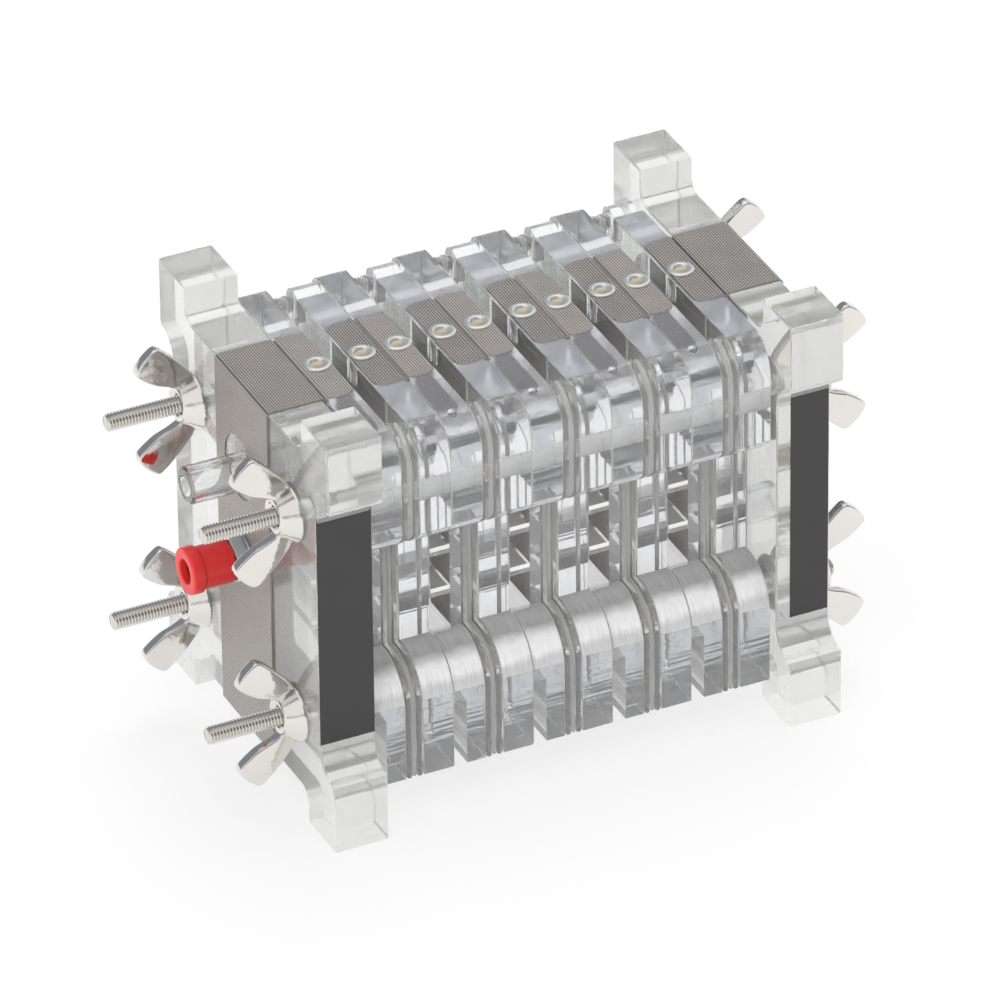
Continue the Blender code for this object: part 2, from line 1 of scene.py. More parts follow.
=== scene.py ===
# %% [markdown]
# # A clear fuel cell stack
# Five fuel cells stand in a row between two clear end blocks, and four threaded studs
# with wing nuts press them together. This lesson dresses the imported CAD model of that
# stack: it keeps every place and size, and builds finer pieces and finishes on top.
# All lengths are in metres, and `MM` turns a drawing's millimetres into them.

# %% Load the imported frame
import math

import bmesh
import bpy
from mathutils import Matrix, Vector


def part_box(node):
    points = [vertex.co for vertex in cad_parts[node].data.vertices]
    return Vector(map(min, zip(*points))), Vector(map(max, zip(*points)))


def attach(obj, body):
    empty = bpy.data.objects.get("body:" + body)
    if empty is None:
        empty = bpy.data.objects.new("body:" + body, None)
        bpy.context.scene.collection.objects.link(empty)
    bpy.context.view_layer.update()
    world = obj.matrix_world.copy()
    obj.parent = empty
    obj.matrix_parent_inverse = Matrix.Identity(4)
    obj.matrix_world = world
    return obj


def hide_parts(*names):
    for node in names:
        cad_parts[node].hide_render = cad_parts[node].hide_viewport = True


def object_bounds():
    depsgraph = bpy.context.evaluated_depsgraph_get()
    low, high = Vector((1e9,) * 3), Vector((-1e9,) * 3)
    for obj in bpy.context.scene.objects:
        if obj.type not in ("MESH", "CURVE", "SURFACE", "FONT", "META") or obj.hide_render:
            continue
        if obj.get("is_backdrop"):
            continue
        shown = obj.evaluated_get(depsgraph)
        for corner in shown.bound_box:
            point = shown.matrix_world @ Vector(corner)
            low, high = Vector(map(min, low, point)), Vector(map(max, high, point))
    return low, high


MM = 0.001
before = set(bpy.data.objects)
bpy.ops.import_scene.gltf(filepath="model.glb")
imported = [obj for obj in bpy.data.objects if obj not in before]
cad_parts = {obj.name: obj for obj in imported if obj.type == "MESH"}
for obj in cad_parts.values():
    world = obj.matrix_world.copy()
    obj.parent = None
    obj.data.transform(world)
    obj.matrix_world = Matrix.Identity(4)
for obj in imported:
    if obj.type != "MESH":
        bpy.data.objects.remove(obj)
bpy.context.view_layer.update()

# %% [markdown]
# The drawing's own origin is the middle of the stack. Both end plates are alike, so their
# two boxes give that middle in the frame, and every piece below is drawn round it first.

# %% Find the middle of the stack
left_low, left_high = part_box("end_plate_left")
right_low, right_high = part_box("end_plate_right")
MIDDLE = Vector(((left_low.x + right_high.x) / 2, 0.0, (left_low.z + left_high.z) / 2))
END_INNER_X = right_low.x - MIDDLE.x
END_OUTER_X = right_high.x - MIDDLE.x
print("middle of the stack in mm:", [round(x / MM, 3) for x in MIDDLE])

# %% [markdown]
# The camera stands about 2.4 m away with a long lens, a little to the left and 33 degrees
# up. Its place comes from the photograph's own perspective: the direction in which the
# camera looks back at the stack, a small roll, and the distance.

# %% Camera
AZIMUTH, ELEVATION, ROLL = math.radians(-25.3), math.radians(32.71), math.radians(-0.62)
DISTANCE, SHIFT_RIGHT, SHIFT_UP = 2.3898, -0.00039, -0.00259
LENS_MM, SENSOR_MM = 423.4, 36.0
scene = bpy.context.scene


def placed(name, data):
    """A new object in the scene."""
    obj = bpy.data.objects.new(name, data)
    scene.collection.objects.link(obj)
    return obj


back = Vector((math.sin(AZIMUTH) * math.cos(ELEVATION), -math.cos(AZIMUTH) * math.cos(ELEVATION),
               math.sin(ELEVATION)))
level_right = (-back).cross(Vector((0, 0, 1))).normalized()
level_up = level_right.cross(-back)
right = math.cos(ROLL) * level_right + math.sin(ROLL) * level_up
up = math.cos(ROLL) * level_up - math.sin(ROLL) * level_right
spot = back * DISTANCE + right * SHIFT_RIGHT + up * SHIFT_UP + MIDDLE

camera_data = bpy.data.cameras.new("camera")
camera_data.sensor_width, camera_data.lens = SENSOR_MM, LENS_MM
camera_data.clip_start, camera_data.clip_end = 0.1, 20.0
camera = placed("camera", camera_data)
turn = Matrix((right, up, back)).transposed().to_4x4()
camera.matrix_world = Matrix.Translation(spot) @ turn
scene.camera = camera
print("camera at", [round(x, 3) for x in spot])

# %% [markdown]
# ## Writing nodes as plain Python
# Finishes and repeated shapes are both node trees. `Maker.node` makes any node from its
# type, its settings and its sockets' values or links. A `Wire` is one output socket, and
# because it knows Python's operators, `1 - mask * 2` adds the Math nodes by itself.

# %% Nodes from Python
class Wire:
    """One output socket, ready for Python's operators."""

    def __init__(self, maker, socket):
        self.maker = maker
        self.socket = socket

    def of(self, name):
        """Another output of the same node."""
        return Wire(self.maker, find_socket(self.socket.node.outputs, name))

    def maths(self, operation, *values):
        return self.maker.node("ShaderNodeMath", {"operation": operation}, dict(enumerate(values)))

    def __add__(self, other):
        return self.maths("ADD", self, other)

    def __sub__(self, other):
        return self.maths("SUBTRACT", self, other)

    def __rsub__(self, other):
        return self.maths("SUBTRACT", other, self)

    def __mul__(self, other):
        return self.maths("MULTIPLY", self, other)

    def __truediv__(self, other):
        return self.maths("DIVIDE", self, other)

    def __pow__(self, other):
        return self.maths("POWER", self, other)

    def __gt__(self, other):
        return self.maths("GREATER_THAN", self, other)

    def __abs__(self):
        return self.maths("ABSOLUTE", self)

    def __floor__(self):
        return self.maths("FLOOR", self)

    __radd__ = __add__
    __rmul__ = __mul__


def find_socket(sockets, key):
    """A socket by its number, its identifier or its name."""
    if isinstance(key, int):
        return sockets[key]
    found = [s for s in sockets if s.identifier == key] or [s for s in sockets if s.name == key]
    return found[0]


class Maker:
    """Makes the nodes of one tree."""

    def __init__(self, tree):
        self.tree = tree

    def node(self, kind, settings=None, inputs=None, output=0):
        node = self.tree.nodes.new(kind)
        for name, value in (settings or {}).items():
            if name == "stops":
                set_stops(node.color_ramp, value)
            else:
                setattr(node, name, value)
        for key, value in (inputs or {}).items():
            socket = find_socket(node.inputs, key)
            if isinstance(value, Wire):
                self.tree.links.new(value.socket, socket)
            else:
                socket.default_value = value
        if len(node.outputs):
            return Wire(self, find_socket(node.outputs, output))
        return None

    def blend(self, factor, first, second):
        """Mixes two colours."""
        values = {"Factor_Float": factor, "A_Color": first, "B_Color": second}
        return self.node("ShaderNodeMix", {"data_type": "RGBA"}, values, "Result_Color")

    def tinted(self, first, second):
        """Multiplies two colours."""
        settings = {"data_type": "RGBA", "blend_type": "MULTIPLY"}
        values = {"Factor_Float": 1.0, "A_Color": first, "B_Color": second}
        return self.node("ShaderNodeMix", settings, values, "Result_Color")

    def between(self, value, low, high):
        """Goes smoothly from 0 at low to 1 at high."""
        values = {"Value": value, "From Min": low, "From Max": high}
        return self.node("ShaderNodeMapRange", {"interpolation_type": "SMOOTHSTEP"}, values)

    def stretched(self, vector, marks):
        """The place times the number of marks per metre along X, Y and Z."""
        return self.node("ShaderNodeVectorMath", {"operation": "MULTIPLY"}, {0: vector, 1: marks})

    def noise(self, vector, scale, detail):
        values = {"Vector": vector, "Scale": scale, "Detail": detail}
        return self.node("ShaderNodeTexNoise", None, values)

    def bump(self, height, distance, strength=1.0):
        values = {"Strength": strength, "Distance": distance, "Height": height}
        return self.node("ShaderNodeBump", None, values)

    def mixed(self, share, first, second):
        """Mixes two shaders."""
        return self.node("ShaderNodeMixShader", None, {0: share, 1: first, 2: second})

    def background(self, colour):
        return self.node("ShaderNodeBackground", None, {"Color": colour, "Strength": 1.0})


def set_stops(ramp, stops):
    while len(ramp.elements) < len(stops):
        ramp.elements.new(1.0)
    for element, (position, colour) in zip(ramp.elements, stops):
        element.position = position
        element.color = colour


def opaque(colour):
    return (*colour, 1.0)


def grey(level):
    return opaque((level, level, level))


print("node helpers ready")

# %% [markdown]
# ## Floor and light
# The stack stands on a plain white floor under soft light. The floor is a white diffuse
# surface, and for rays that come from the camera, or through glass and off metal, most
# of its colour is simply white, so the background stays white and a faint shadow stays.

# %% Floor
FLOOR_HALF, FLOOR_WHITE, BACKDROP_SHARE = 4.0, 0.97, 0.74
scene.view_settings.view_transform = "Standard"


def new_finish(name):
    material = bpy.data.materials.new(name)
    material.use_nodes = True
    material.node_tree.nodes.clear()
    return material, Maker(material.node_tree)


floor_mesh = bpy.data.meshes.new("floor")
floor_corners = [(x * FLOOR_HALF, y * FLOOR_HALF, 0) for x, y in ((-1, -1), (1, -1), (1, 1), (-1, 1))]
floor_mesh.from_pydata(floor_corners, [], [(0, 1, 2, 3)])
floor = placed("floor", floor_mesh)
floor_material, make = new_finish("floor_white")
path = make.node("ShaderNodeLightPath", output="Is Camera Ray")
seen = path + path.of("Is Glossy Ray") + path.of("Is Transmission Ray")
paper = make.node("ShaderNodeBsdfDiffuse", None, {"Color": grey(FLOOR_WHITE)})
glow = make.node("ShaderNodeEmission", None, {"Color": grey(1.0), "Strength": 1.0})
surface = make.mixed((seen > 0.5) * BACKDROP_SHARE, paper, glow)
make.node("ShaderNodeOutputMaterial", None, {"Surface": surface})
floor_mesh.materials.append(floor_material)
floor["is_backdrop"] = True
print("floor placed, backdrop share:", BACKDROP_SHARE)

# %% [markdown]
# A clear or polished thing looks like what stands round it. Metal and the gloss on the
# plastic see a plain studio: a white table low down, a wide soft box overhead, two
# smaller ones at the sides and a dim room between them. Rays that have crossed a clear
# part see the same studio with a paler room, as if the light had mixed on its way.
# Diffuse surfaces only see one even level, so a colour renders about as it is written.

# %% World
SIDE_BOXES = ((-0.80, -0.35, 0.48), (0.78, 0.40, 0.48))
world = bpy.data.worlds.new("studio")
scene.world = world
world.use_nodes = True
world.node_tree.nodes.clear()
make = Maker(world.node_tree)
direction = make.node("ShaderNodeTexCoord", output="Generated")
height = make.node("ShaderNodeSeparateXYZ", None, {0: direction}, "Z")
table = 1 - make.between(height, 0.03, 0.20)
overhead = make.between(height, 0.70, 0.84)
boxes = []
for aim in SIDE_BOXES:
    values = {0: direction, 1: aim}
    toward = make.node("ShaderNodeVectorMath", {"operation": "DOT_PRODUCT"}, values, "Value")
    boxes.append(make.between(toward, 0.88, 0.94))


def studio(room, table_level, overhead_level, box_levels):
    """The studio's colour in every direction, as a background."""
    colour = make.blend(table, room, grey(table_level))
    colour = make.blend(overhead, colour, grey(overhead_level))
    for box, level in zip(boxes, box_levels):
        colour = make.blend(box, colour, grey(level))
    return make.background(colour)


mirrored = studio(opaque((0.25, 0.27, 0.31)), 0.92, 1.05, (0.95, 0.85))
through = studio(opaque((0.66, 0.67, 0.70)), 0.94, 1.00, (0.90, 0.86))
path = make.node("ShaderNodeLightPath", output="Is Camera Ray")
light = make.mixed(path.of("Is Glossy Ray"), make.background(grey(0.84)), mirrored)
light = make.mixed(path.of("Is Transmission Ray"), light, through)
light = make.mixed(path, light, make.background(grey(1.0)))
make.node("ShaderNodeOutputWorld", None, {"Surface": light})
print("studio world ready, soft boxes at the sides:", len(boxes))


# %% Lamps
def add_lamp(name, spot, size, watts, target=(0, 0, 0.04)):
    """A square soft box that looks at the stack."""
    data = bpy.data.lights.new(name, "AREA")
    data.shape, data.size, data.energy = "SQUARE", size, watts
    lamp = placed(name, data)
    lamp.location = spot
    lamp.rotation_euler = (Vector(target) - Vector(spot)).to_track_quat("-Z", "Y").to_euler()
    lamp.visible_camera = lamp.visible_glossy = lamp.visible_transmission = False


add_lamp("top_soft_box", (0.5, 0.7, 1.5), 1.0, 9.0)
add_lamp("front_soft_box", (-1.3, -0.9, 0.9), 0.8, 7.0)
print("two soft boxes placed")

# %% [markdown]
# Light has to cross many clear walls here, so the path lengths are raised, and light that
# is refracted on its way to a dull surface counts, because it brightens the insides.

# %% Path lengths
scene.cycles.max_bounces = 32
scene.cycles.transmission_bounces = 28
scene.cycles.glossy_bounces = 12
scene.cycles.transparent_max_bounces = 48
scene.cycles.diffuse_bounces = 3
scene.cycles.caustics_reflective = False
scene.cycles.caustics_refractive = True
print("longest path:", scene.cycles.max_bounces)

# %% [markdown]
# ## Finishes
# Clear acrylic is a glass with index 1.49. Its big faces are as cast, smooth as a window,
# and its cut edges keep fine ripples that run straight across the thickness, so they get
# their own material with a noise that is stretched along X as a bump.


# %% Clear acrylic
ACRYLIC_IOR = 1.49
CAST, SAWN, RIPPLED = (300, 300, 300), (60, 900, 900), (45, 800, 800)


def dressed(make, values, shadow=None):
    """Puts a shader on the output; with a shadow tint, lamps shine through the piece."""
    surface = make.node("ShaderNodeBsdfPrincipled", None, values)
    if shadow is not None:
        clear = make.node("ShaderNodeBsdfTransparent", None, {"Color": grey(shadow)})
        lamp = make.node("ShaderNodeLightPath", output="Is Shadow Ray")
        surface = make.mixed(lamp, surface, clear)
    make.node("ShaderNodeOutputMaterial", None, {"Surface": surface})


def clear_finish(name, tint, through, roughness, marks, depth, shadow=0.99, detail=4.0):
    """A clear plastic: marks is the noise's size along X, Y and Z in cycles per metre."""
    material, make = new_finish(name)
    spot = make.node("ShaderNodeTexCoord", output="Object")
    fine = make.noise(make.stretched(spot, marks), 1.0, detail)
    haze = make.noise(spot, 140.0, 2.0)
    dressed(make, {
        "Base Color": opaque(tint), "Roughness": roughness * (0.6 + 0.8 * haze), "IOR": ACRYLIC_IOR,
        "Transmission Weight": through, "Normal": make.bump(fine, depth)}, shadow)
    return material


EDGE_TINT = (0.965, 0.968, 0.98)
ACRYLIC_FACE = clear_finish("clear_acrylic_face", (0.965, 0.97, 0.975), 0.965, 0.01, CAST, 2e-6)
ACRYLIC_EDGE = clear_finish("clear_acrylic_edge", EDGE_TINT, 0.90, 0.04, RIPPLED, 6e-5, detail=2.0)
ACRYLIC_BOTTOM = clear_finish("clear_acrylic_bottom", EDGE_TINT, 0.88, 0.03, RIPPLED, 3e-4, detail=1.0)
AIR_TOP = clear_finish("clear_air_top", (0.90, 0.905, 0.94), 0.92, 0.09, SAWN, 1e-5)
HYDROGEN_TOP = clear_finish("clear_hydrogen_top", (0.56, 0.57, 0.615), 0.66, 0.20, SAWN, 6e-6)
END_FACE = clear_finish("clear_end_face", (0.905, 0.91, 0.895), 0.84, 0.05, CAST, 1e-6, 0.985)
END_EDGE = clear_finish("clear_end_edge", (0.885, 0.89, 0.867), 0.76, 0.06, SAWN, 3e-6, 0.98)
print("clear finishes:", ACRYLIC_FACE.name, ACRYLIC_EDGE.name, END_FACE.name, END_EDGE.name)

# %% [markdown]
# A drill leaves a bore in acrylic frosted, and a broken edge is frosted too. The seals
# are a milky rubber and the membrane between them is a cloudy film. All of these let a
# part of the light through and scatter the rest, so one function makes them.


# %% Frosted and milky finishes
def milky_finish(name, colour, index, roughness, through, marks, depth, shadow, dip=0.88):
    """A cloudy plastic: dip is how much of its colour is left in the marks."""
    material, make = new_finish(name)
    spot = make.node("ShaderNodeTexCoord", output="Object")
    fine = make.noise(make.stretched(spot, marks), 1.0, 3.0)
    cloud = make.noise(spot, 220.0, 3.0)
    tone = make.blend(fine, opaque(c * dip for c in colour), opaque(colour))
    dressed(make, {
        "Base Color": tone, "Roughness": roughness * (0.8 + 0.4 * cloud), "IOR": index,
        "Transmission Weight": through, "Normal": make.bump(fine, depth)}, shadow)
    return material


FROSTED = milky_finish("frosted_acrylic", (0.995, 0.995, 0.985), ACRYLIC_IOR, 0.60, 0.0,
                       (4200, 300, 300), 2e-5, 0.98)
BROKEN_EDGE = milky_finish("broken_edge", (0.98, 0.98, 0.97), ACRYLIC_IOR, 0.30, 0.66,
                           (900, 900, 900), 1e-5, 0.98)
SEAL = milky_finish("milky_seal", (0.99, 0.99, 0.98), 1.42, 0.05, 0.90,
                    (1500, 400, 400), 1e-5, 0.985)
MEMBRANE = milky_finish("membrane_film", (0.93, 0.93, 0.91), 1.38, 0.12, 0.74,
                        (900, 400, 400), 1e-5, 0.97)
print("milky finishes:", FROSTED.name, BROKEN_EDGE.name, SEAL.name, MEMBRANE.name)

# %% [markdown]
# The round lower lobes are sanded, with fine scratches round them, and their tone is a
# painted highlight and painted shade: white half way down, where they face the light, and
# grey where they turn up. The slots are milled instead, so their walls are dull and carry
# the cutter's curved marks; their dark warm grey is painted shade for the dark parts seen
# through them.


# %% Sanded lobes and milled slots, with painted light
def lobe_finish_with_painted_highlight():
    """A painted highlight and shade: its tone follows how far a face turns up, from 0 at level or below
    to 1 at the top.
    """
    material, make = new_finish("sanded_lobe")
    coords = make.node("ShaderNodeTexCoord", output="Object")
    rise = make.node("ShaderNodeSeparateXYZ", None, {0: coords.of("Normal")}, "Z")
    scratch = make.noise(make.stretched(coords, (5000, 200, 200)), 1.0, 4.0)
    cloud = make.noise(coords, 260.0, 3.0)
    turn = rise + (cloud - 0.5) * 0.16 + (scratch - 0.5) * 0.14
    # Painted highlight and shade: white where the lobe faces the light, grey where it turns up.
    tones = ((0.0, 0.66), (0.34, 0.68), (0.50, 0.99), (0.72, 0.99), (0.88, 0.46), (1.0, 0.55))
    ramp = {"stops": [(position, grey(level)) for position, level in tones]}
    tone = make.node("ShaderNodeValToRGB", ramp, {"Fac": turn})
    lines = make.blend(make.between(scratch, 0.35, 0.62), grey(0.86), grey(1.0))
    dressed(make, {
        "Base Color": make.tinted(tone, lines), "Roughness": 0.20 + 0.10 * cloud, "IOR": ACRYLIC_IOR,
        "Transmission Weight": 0.15, "Normal": make.bump(scratch, 3e-5)}, 0.98)
    return material


SANDED_PAINTED_HIGHLIGHT = lobe_finish_with_painted_highlight()
# Its dark warm grey is painted shade, standing in for the dark parts seen through the slot walls.
MILLED_PAINTED_SHADE = milky_finish("milled_slot", (0.56, 0.53, 0.50), ACRYLIC_IOR, 0.20, 0.50,
                      (500, 4200, 500), 4e-5, 0.97, 0.30)
print("machined finishes:", SANDED_PAINTED_HIGHLIGHT.name, MILLED_PAINTED_SHADE.name)

# %% [markdown]
# The current collectors are woven from steel wire, with 0.55 mm from wire to wire along
# the tab and 0.39 mm across it. One cell of the weave is a half-round wire each way, and
# a wire that is over its neighbour at one crossing is under at the next: a sine with the
# other wire's number in its phase does that. The height drives the bump, and it also
# drives painted light: the colour runs from a painted shade in the gaps to a painted
# highlight on the crests, and the wires along the tab get a smaller share of it, so that
# the highlights on the crests of the wires across it read as bright dots.

# %% Woven steel mesh
PITCH_ALONG, PITCH_ACROSS = 0.55 * MM, 0.39 * MM
WIRE_R = 0.125 * MM
ROUNDING, WAVE, CORE = 0.40, 0.38, 0.20
# How much of the painted crest highlight the wires along the tab get.
LENGTHWISE_HIGHLIGHT_SHARE = 0.62


def weave_height(along, across, wire, sign):
    """The height of wires that run along, spaced across, as they go over and under."""
    number = math.floor(across)
    section = 1 - ((across - number - 0.5) / wire) ** 2
    section = section.maths("MAXIMUM", section, 0.0)
    phase = (along + number) * math.pi
    height = section ** 0.5 * ROUNDING + phase.maths("SINE", phase) * (WAVE * sign) + CORE
    return height * (section > 0.0)


def mesh_finish(name, gap_shade_tone, wire_tone, leg_metal=0.75):
    """The weave, from the painted shade between the wires to the tone of their flanks, with painted
    highlights on the crests.
    """
    material, make = new_finish(name)
    coords = make.node("ShaderNodeTexCoord", output="Object")
    normal = make.node("ShaderNodeSeparateXYZ", None, {0: coords.of("Normal")})
    xyz = make.node("ShaderNodeSeparateXYZ", None, {0: coords})
    flat = abs(normal.of("Z")) > 0.7
    along = (xyz * flat + xyz.of("Z") * (1 - flat)) / PITCH_ALONG
    across = xyz.of("Y") / PITCH_ACROSS
    first = weave_height(along, across, WIRE_R / PITCH_ACROSS, 1.0)
    second = weave_height(across, along, WIRE_R / PITCH_ALONG, -1.0)
    height = first.maths("MAXIMUM", first, second)
    # Painted light: a painted shade in the gaps and a painted highlight on the crests, weaker on the
    # wires along the tab.
    painted_shine = first.maths("MAXIMUM", first * LENGTHWISE_HIGHLIGHT_SHARE, second)
    wear = make.noise(coords, 160.0, 3.0)
    hole, painted_crest_highlight = (0.018, 0.016, 0.015), (1.0, 0.98, 0.95)
    gap_shade = (gap_shade_tone, gap_shade_tone * 0.91, gap_shade_tone * 0.85)
    wire = (wire_tone, wire_tone * 0.93, wire_tone * 0.87)
    tones = ((0.0, hole), (0.30, gap_shade), (0.62, wire), (0.88, painted_crest_highlight))
    ramp = {"stops": [(position, opaque(tone)) for position, tone in tones]}
    colour = make.node("ShaderNodeValToRGB", ramp, {"Fac": painted_shine})
    colour = make.tinted(colour, make.blend(wear, opaque((0.80, 0.79, 0.79)), grey(1.0)))
    cut_side = abs(normal.of("Y")) > 0.5
    colour = make.blend(cut_side, colour, opaque((0.42, 0.395, 0.37)))
    dressed(make, {
        "Base Color": colour, "Metallic": 0.75 * flat + leg_metal * (1 - flat),
        "Roughness": 0.34 + 0.12 * wear, "Normal": make.bump(height, 1.2e-4, 0.8)})
    return material


STRIP_MESH = mesh_finish("woven_steel_strip", 0.45, 0.58)
MESH = mesh_finish("woven_steel_mesh", 0.43, 0.55, 0.10)
BRIGHT_MESH = mesh_finish("woven_steel_mesh_bright", 0.54, 0.74, 0.10)
print("finishes:", STRIP_MESH.name, MESH.name, BRIGHT_MESH.name)

# %% [markdown]
# The metals differ in colour and in how they were made. Polished nickel over a casting
# keeps soft dimples, turned steel is even, and bright zinc on the small nut is duller
# and bluish. One function makes them all, with a dimple size and depth for each.


# %% Metals
def metal_finish(name, colour, roughness, dimple_scale, dimple_depth=1e-5, stain=0.12):
    """A metal: stain is how much of its colour is lost where it is smeared."""
    material, make = new_finish(name)
    spot = make.node("ShaderNodeTexCoord", output="Object")
    dimples = make.noise(spot, dimple_scale, 2.0)
    smear = make.noise(spot, 90.0, 4.0)
    dark = opaque(c * (1 - stain) for c in colour)
    dressed(make, {
        "Base Color": make.blend(smear, dark, opaque(colour)), "Metallic": 1.0,
        "Roughness": roughness * (0.7 + 0.6 * smear), "Normal": make.bump(dimples, dimple_depth)})
    return material


NICKEL = metal_finish("polished_nickel", (0.84, 0.81, 0.77), 0.10, 700.0, 4.5e-5)
STUD_STEEL = metal_finish("rolled_steel", (0.76, 0.73, 0.69), 0.22, 2500.0)
ZINC = metal_finish("bright_zinc", (0.80, 0.84, 0.86), 0.34, 1800.0, stain=0.24)
EYELET_SILVER = metal_finish("silvered_eyelet", (0.95, 0.94, 0.91), 0.40, 900.0)
CUP_METAL = metal_finish("eyelet_cup", (0.80, 0.70, 0.56), 0.45, 900.0)
CONTACT_METAL = metal_finish("plated_contact", (0.86, 0.70, 0.40), 0.18, 1500.0)
print("metals:", NICKEL.name, STUD_STEEL.name, ZINC.name, EYELET_SILVER.name, CONTACT_METAL.name)

# %% [markdown]
# The sockets' caps are moulded: one colour that is a little uneven, under a soft gloss
# with a very fine grain. The label's film is the same kind of surface, only duller.


# %% Plastics and label
def plastic_finish(name, colour, dark, roughness, grain, depth):
    material, make = new_finish(name)
    spot = make.node("ShaderNodeTexCoord", output="Object")
    fine = make.noise(spot, grain, 3.0)
    broad = make.noise(spot, 150.0, 2.0)
    dressed(make, {
        "Base Color": make.blend(broad, opaque(dark), opaque(colour)),
        "Roughness": roughness * (0.8 + 0.4 * fine), "IOR": 1.5, "Normal": make.bump(fine, depth)})
    return material


RED = plastic_finish("red_plastic", (0.82, 0.040, 0.036), (0.72, 0.030, 0.028),
                     0.34, 1600.0, 6e-6)
BLACK = plastic_finish("black_plastic", (0.020, 0.020, 0.022), (0.014, 0.014, 0.015),
                       0.34, 1600.0, 6e-6)
LABEL = plastic_finish("label_film", (0.041, 0.039, 0.039), (0.035, 0.033, 0.033),
                       0.50, 2200.0, 3e-6)
print("plastics:", RED.name, BLACK.name, LABEL.name)

# %% [markdown]
# ## Tools for pieces
# Most pieces are flat plates with an outline in the YZ plane, so the tools below draw
# arcs, turn an outline into a plate with a fine chamfer on its edges, spin a profile
# about X, and cut one mesh with others. A piece is drawn round the stack's middle and
# `add_piece` moves its mesh into the frame, so its object stays at the origin.


# %% Outlines
def arc(centre, radius, start, end, steps):
    """Points along an arc, angles in degrees from the first axis to the second."""
    angles = [math.radians(start + (end - start) * i / steps) for i in range(steps + 1)]
    return [(centre[0] + radius * math.cos(a), centre[1] + radius * math.sin(a)) for a in angles]


def circle(centre, diameter, steps):
    return arc(centre, diameter / 2, 0, 360, steps)[:-1]


def flipped(points):
    """The same half outline on the other side, in the other direction."""
    return [(-y, z) for y, z in reversed(points)]


def inset(points, distance):
    """The outline moved inwards, corner by corner."""
    area = sum(a[0] * b[1] - b[0] * a[1] for a, b in zip(points, points[1:] + points[:1]))
    sign = 1 if area > 0 else -1
    moved = []
    for before, here, after in zip(points[-1:] + points[:-1], points, points[1:] + points[:1]):
        first = (Vector(here) - Vector(before)).normalized()
        second = (Vector(after) - Vector(here)).normalized()
        normal = Vector((-first.y - second.y, first.x + second.x)) * sign
        normal.normalize()
        lean = max(0.4, normal.dot(Vector((-first.y, first.x)) * sign))
        moved.append(tuple(Vector(here) + normal * (distance / lean)))
    return moved


print("outline tools ready")


# %% Meshes
def to_mesh(name, bm):
    bmesh.ops.recalc_face_normals(bm, faces=bm.faces[:])
    mesh = bpy.data.meshes.new(name)
    bm.to_mesh(mesh)
    bm.free()
    return mesh


def bridge(bm, first, second):
    """Quads between two closed loops of vertices."""
    for corners in zip(first, first[1:] + first[:1], second[1:] + second[:1], second):
        bm.faces.new(corners)


def plate(name, outline, thickness, chamfer, holes=()):
    """A plate in YZ from x = 0 to x = thickness, with chamfered edges and through holes."""
    bm = bmesh.new()
    stations = [(0.0, outline), (thickness, outline)]
    if chamfer:
        small = inset(outline, chamfer)
        stations = [(0.0, small), (chamfer, outline), (thickness - chamfer, outline),
                    (thickness, small)]
    loops = [[bm.verts.new((x, y, z)) for y, z in points] for x, points in stations]
    for loop, following in zip(loops, loops[1:]):
        bridge(bm, loop, following)
    bores = []
    for hole in holes:
        ends = [[bm.verts.new((x, y, z)) for y, z in hole] for x in (0.0, thickness)]
        bores.append(ends)
        bridge(bm, *ends)
    for index, loop in enumerate((loops[0], loops[-1])):
        edges = []
        for ring in [loop] + [ends[index] for ends in bores]:
            for a, b in zip(ring, ring[1:] + ring[:1]):
                edges.append(bm.edges.get((a, b)) or bm.edges.new((a, b)))
        bmesh.ops.triangle_fill(bm, use_beauty=True, edges=edges)
    return to_mesh(name, bm)


def spun(name, profile, steps):
    """A closed profile of (x, radius) points, spun about X."""
    bm = bmesh.new()
    rings = []
    for i in range(steps):
        a = math.tau * i / steps
        rings.append([bm.verts.new((x, r * math.cos(a), r * math.sin(a))) for x, r in profile])
    for ring, following in zip(rings, rings[1:] + rings[:1]):
        bridge(bm, ring, following)
    return to_mesh(name, bm)


def block(low, high):
    """A plain box, used to cut a slot or a recess."""
    bm = bmesh.new()
    bmesh.ops.create_cube(bm, size=1.0)
    size = Vector(high) - Vector(low)
    bm.transform(Matrix.Translation((Vector(high) + Vector(low)) / 2) @ Matrix.Diagonal((*size, 1.0)))
    return to_mesh("block", bm)


def rod(start, direction, length, diameter, steps=48):
    """A plain round rod, used to bore a hole or to add a boss."""
    bm = bmesh.new()
    bmesh.ops.create_cone(bm, cap_ends=True, segments=steps, radius1=diameter / 2,
                          radius2=diameter / 2, depth=length)
    turned = Vector((0, 0, 1)).rotation_difference(Vector(direction)).to_matrix().to_4x4()
    bm.transform(Matrix.Translation(Vector(start) + Vector(direction) * (length / 2)) @ turned)
    return to_mesh("rod", bm)


def carved(mesh, cutters, boss=None):
    """The mesh with the cutters' shapes taken out of it, after a boss is joined to it."""
    work = placed("work", mesh)
    tools = []
    steps = [("UNION", boss)] if boss else []
    for operation, tool_mesh in steps + [("DIFFERENCE", cutter) for cutter in cutters]:
        tool = placed("tool", tool_mesh)
        tools.append(tool)
        modifier = work.modifiers.new("cut", "BOOLEAN")
        modifier.operation, modifier.solver, modifier.object = operation, "EXACT", tool
    result = plain_mesh(work, mesh.name)
    for tool in tools:
        bpy.data.objects.remove(tool, do_unlink=True)
    return result


def plain_mesh(obj, name):
    """The object's mesh with its modifiers applied; the object itself goes."""
    bpy.context.view_layer.update()
    graph = bpy.context.evaluated_depsgraph_get()
    result = bpy.data.meshes.new_from_object(obj.evaluated_get(graph))
    result.name = name
    bpy.data.objects.remove(obj, do_unlink=True)
    return result


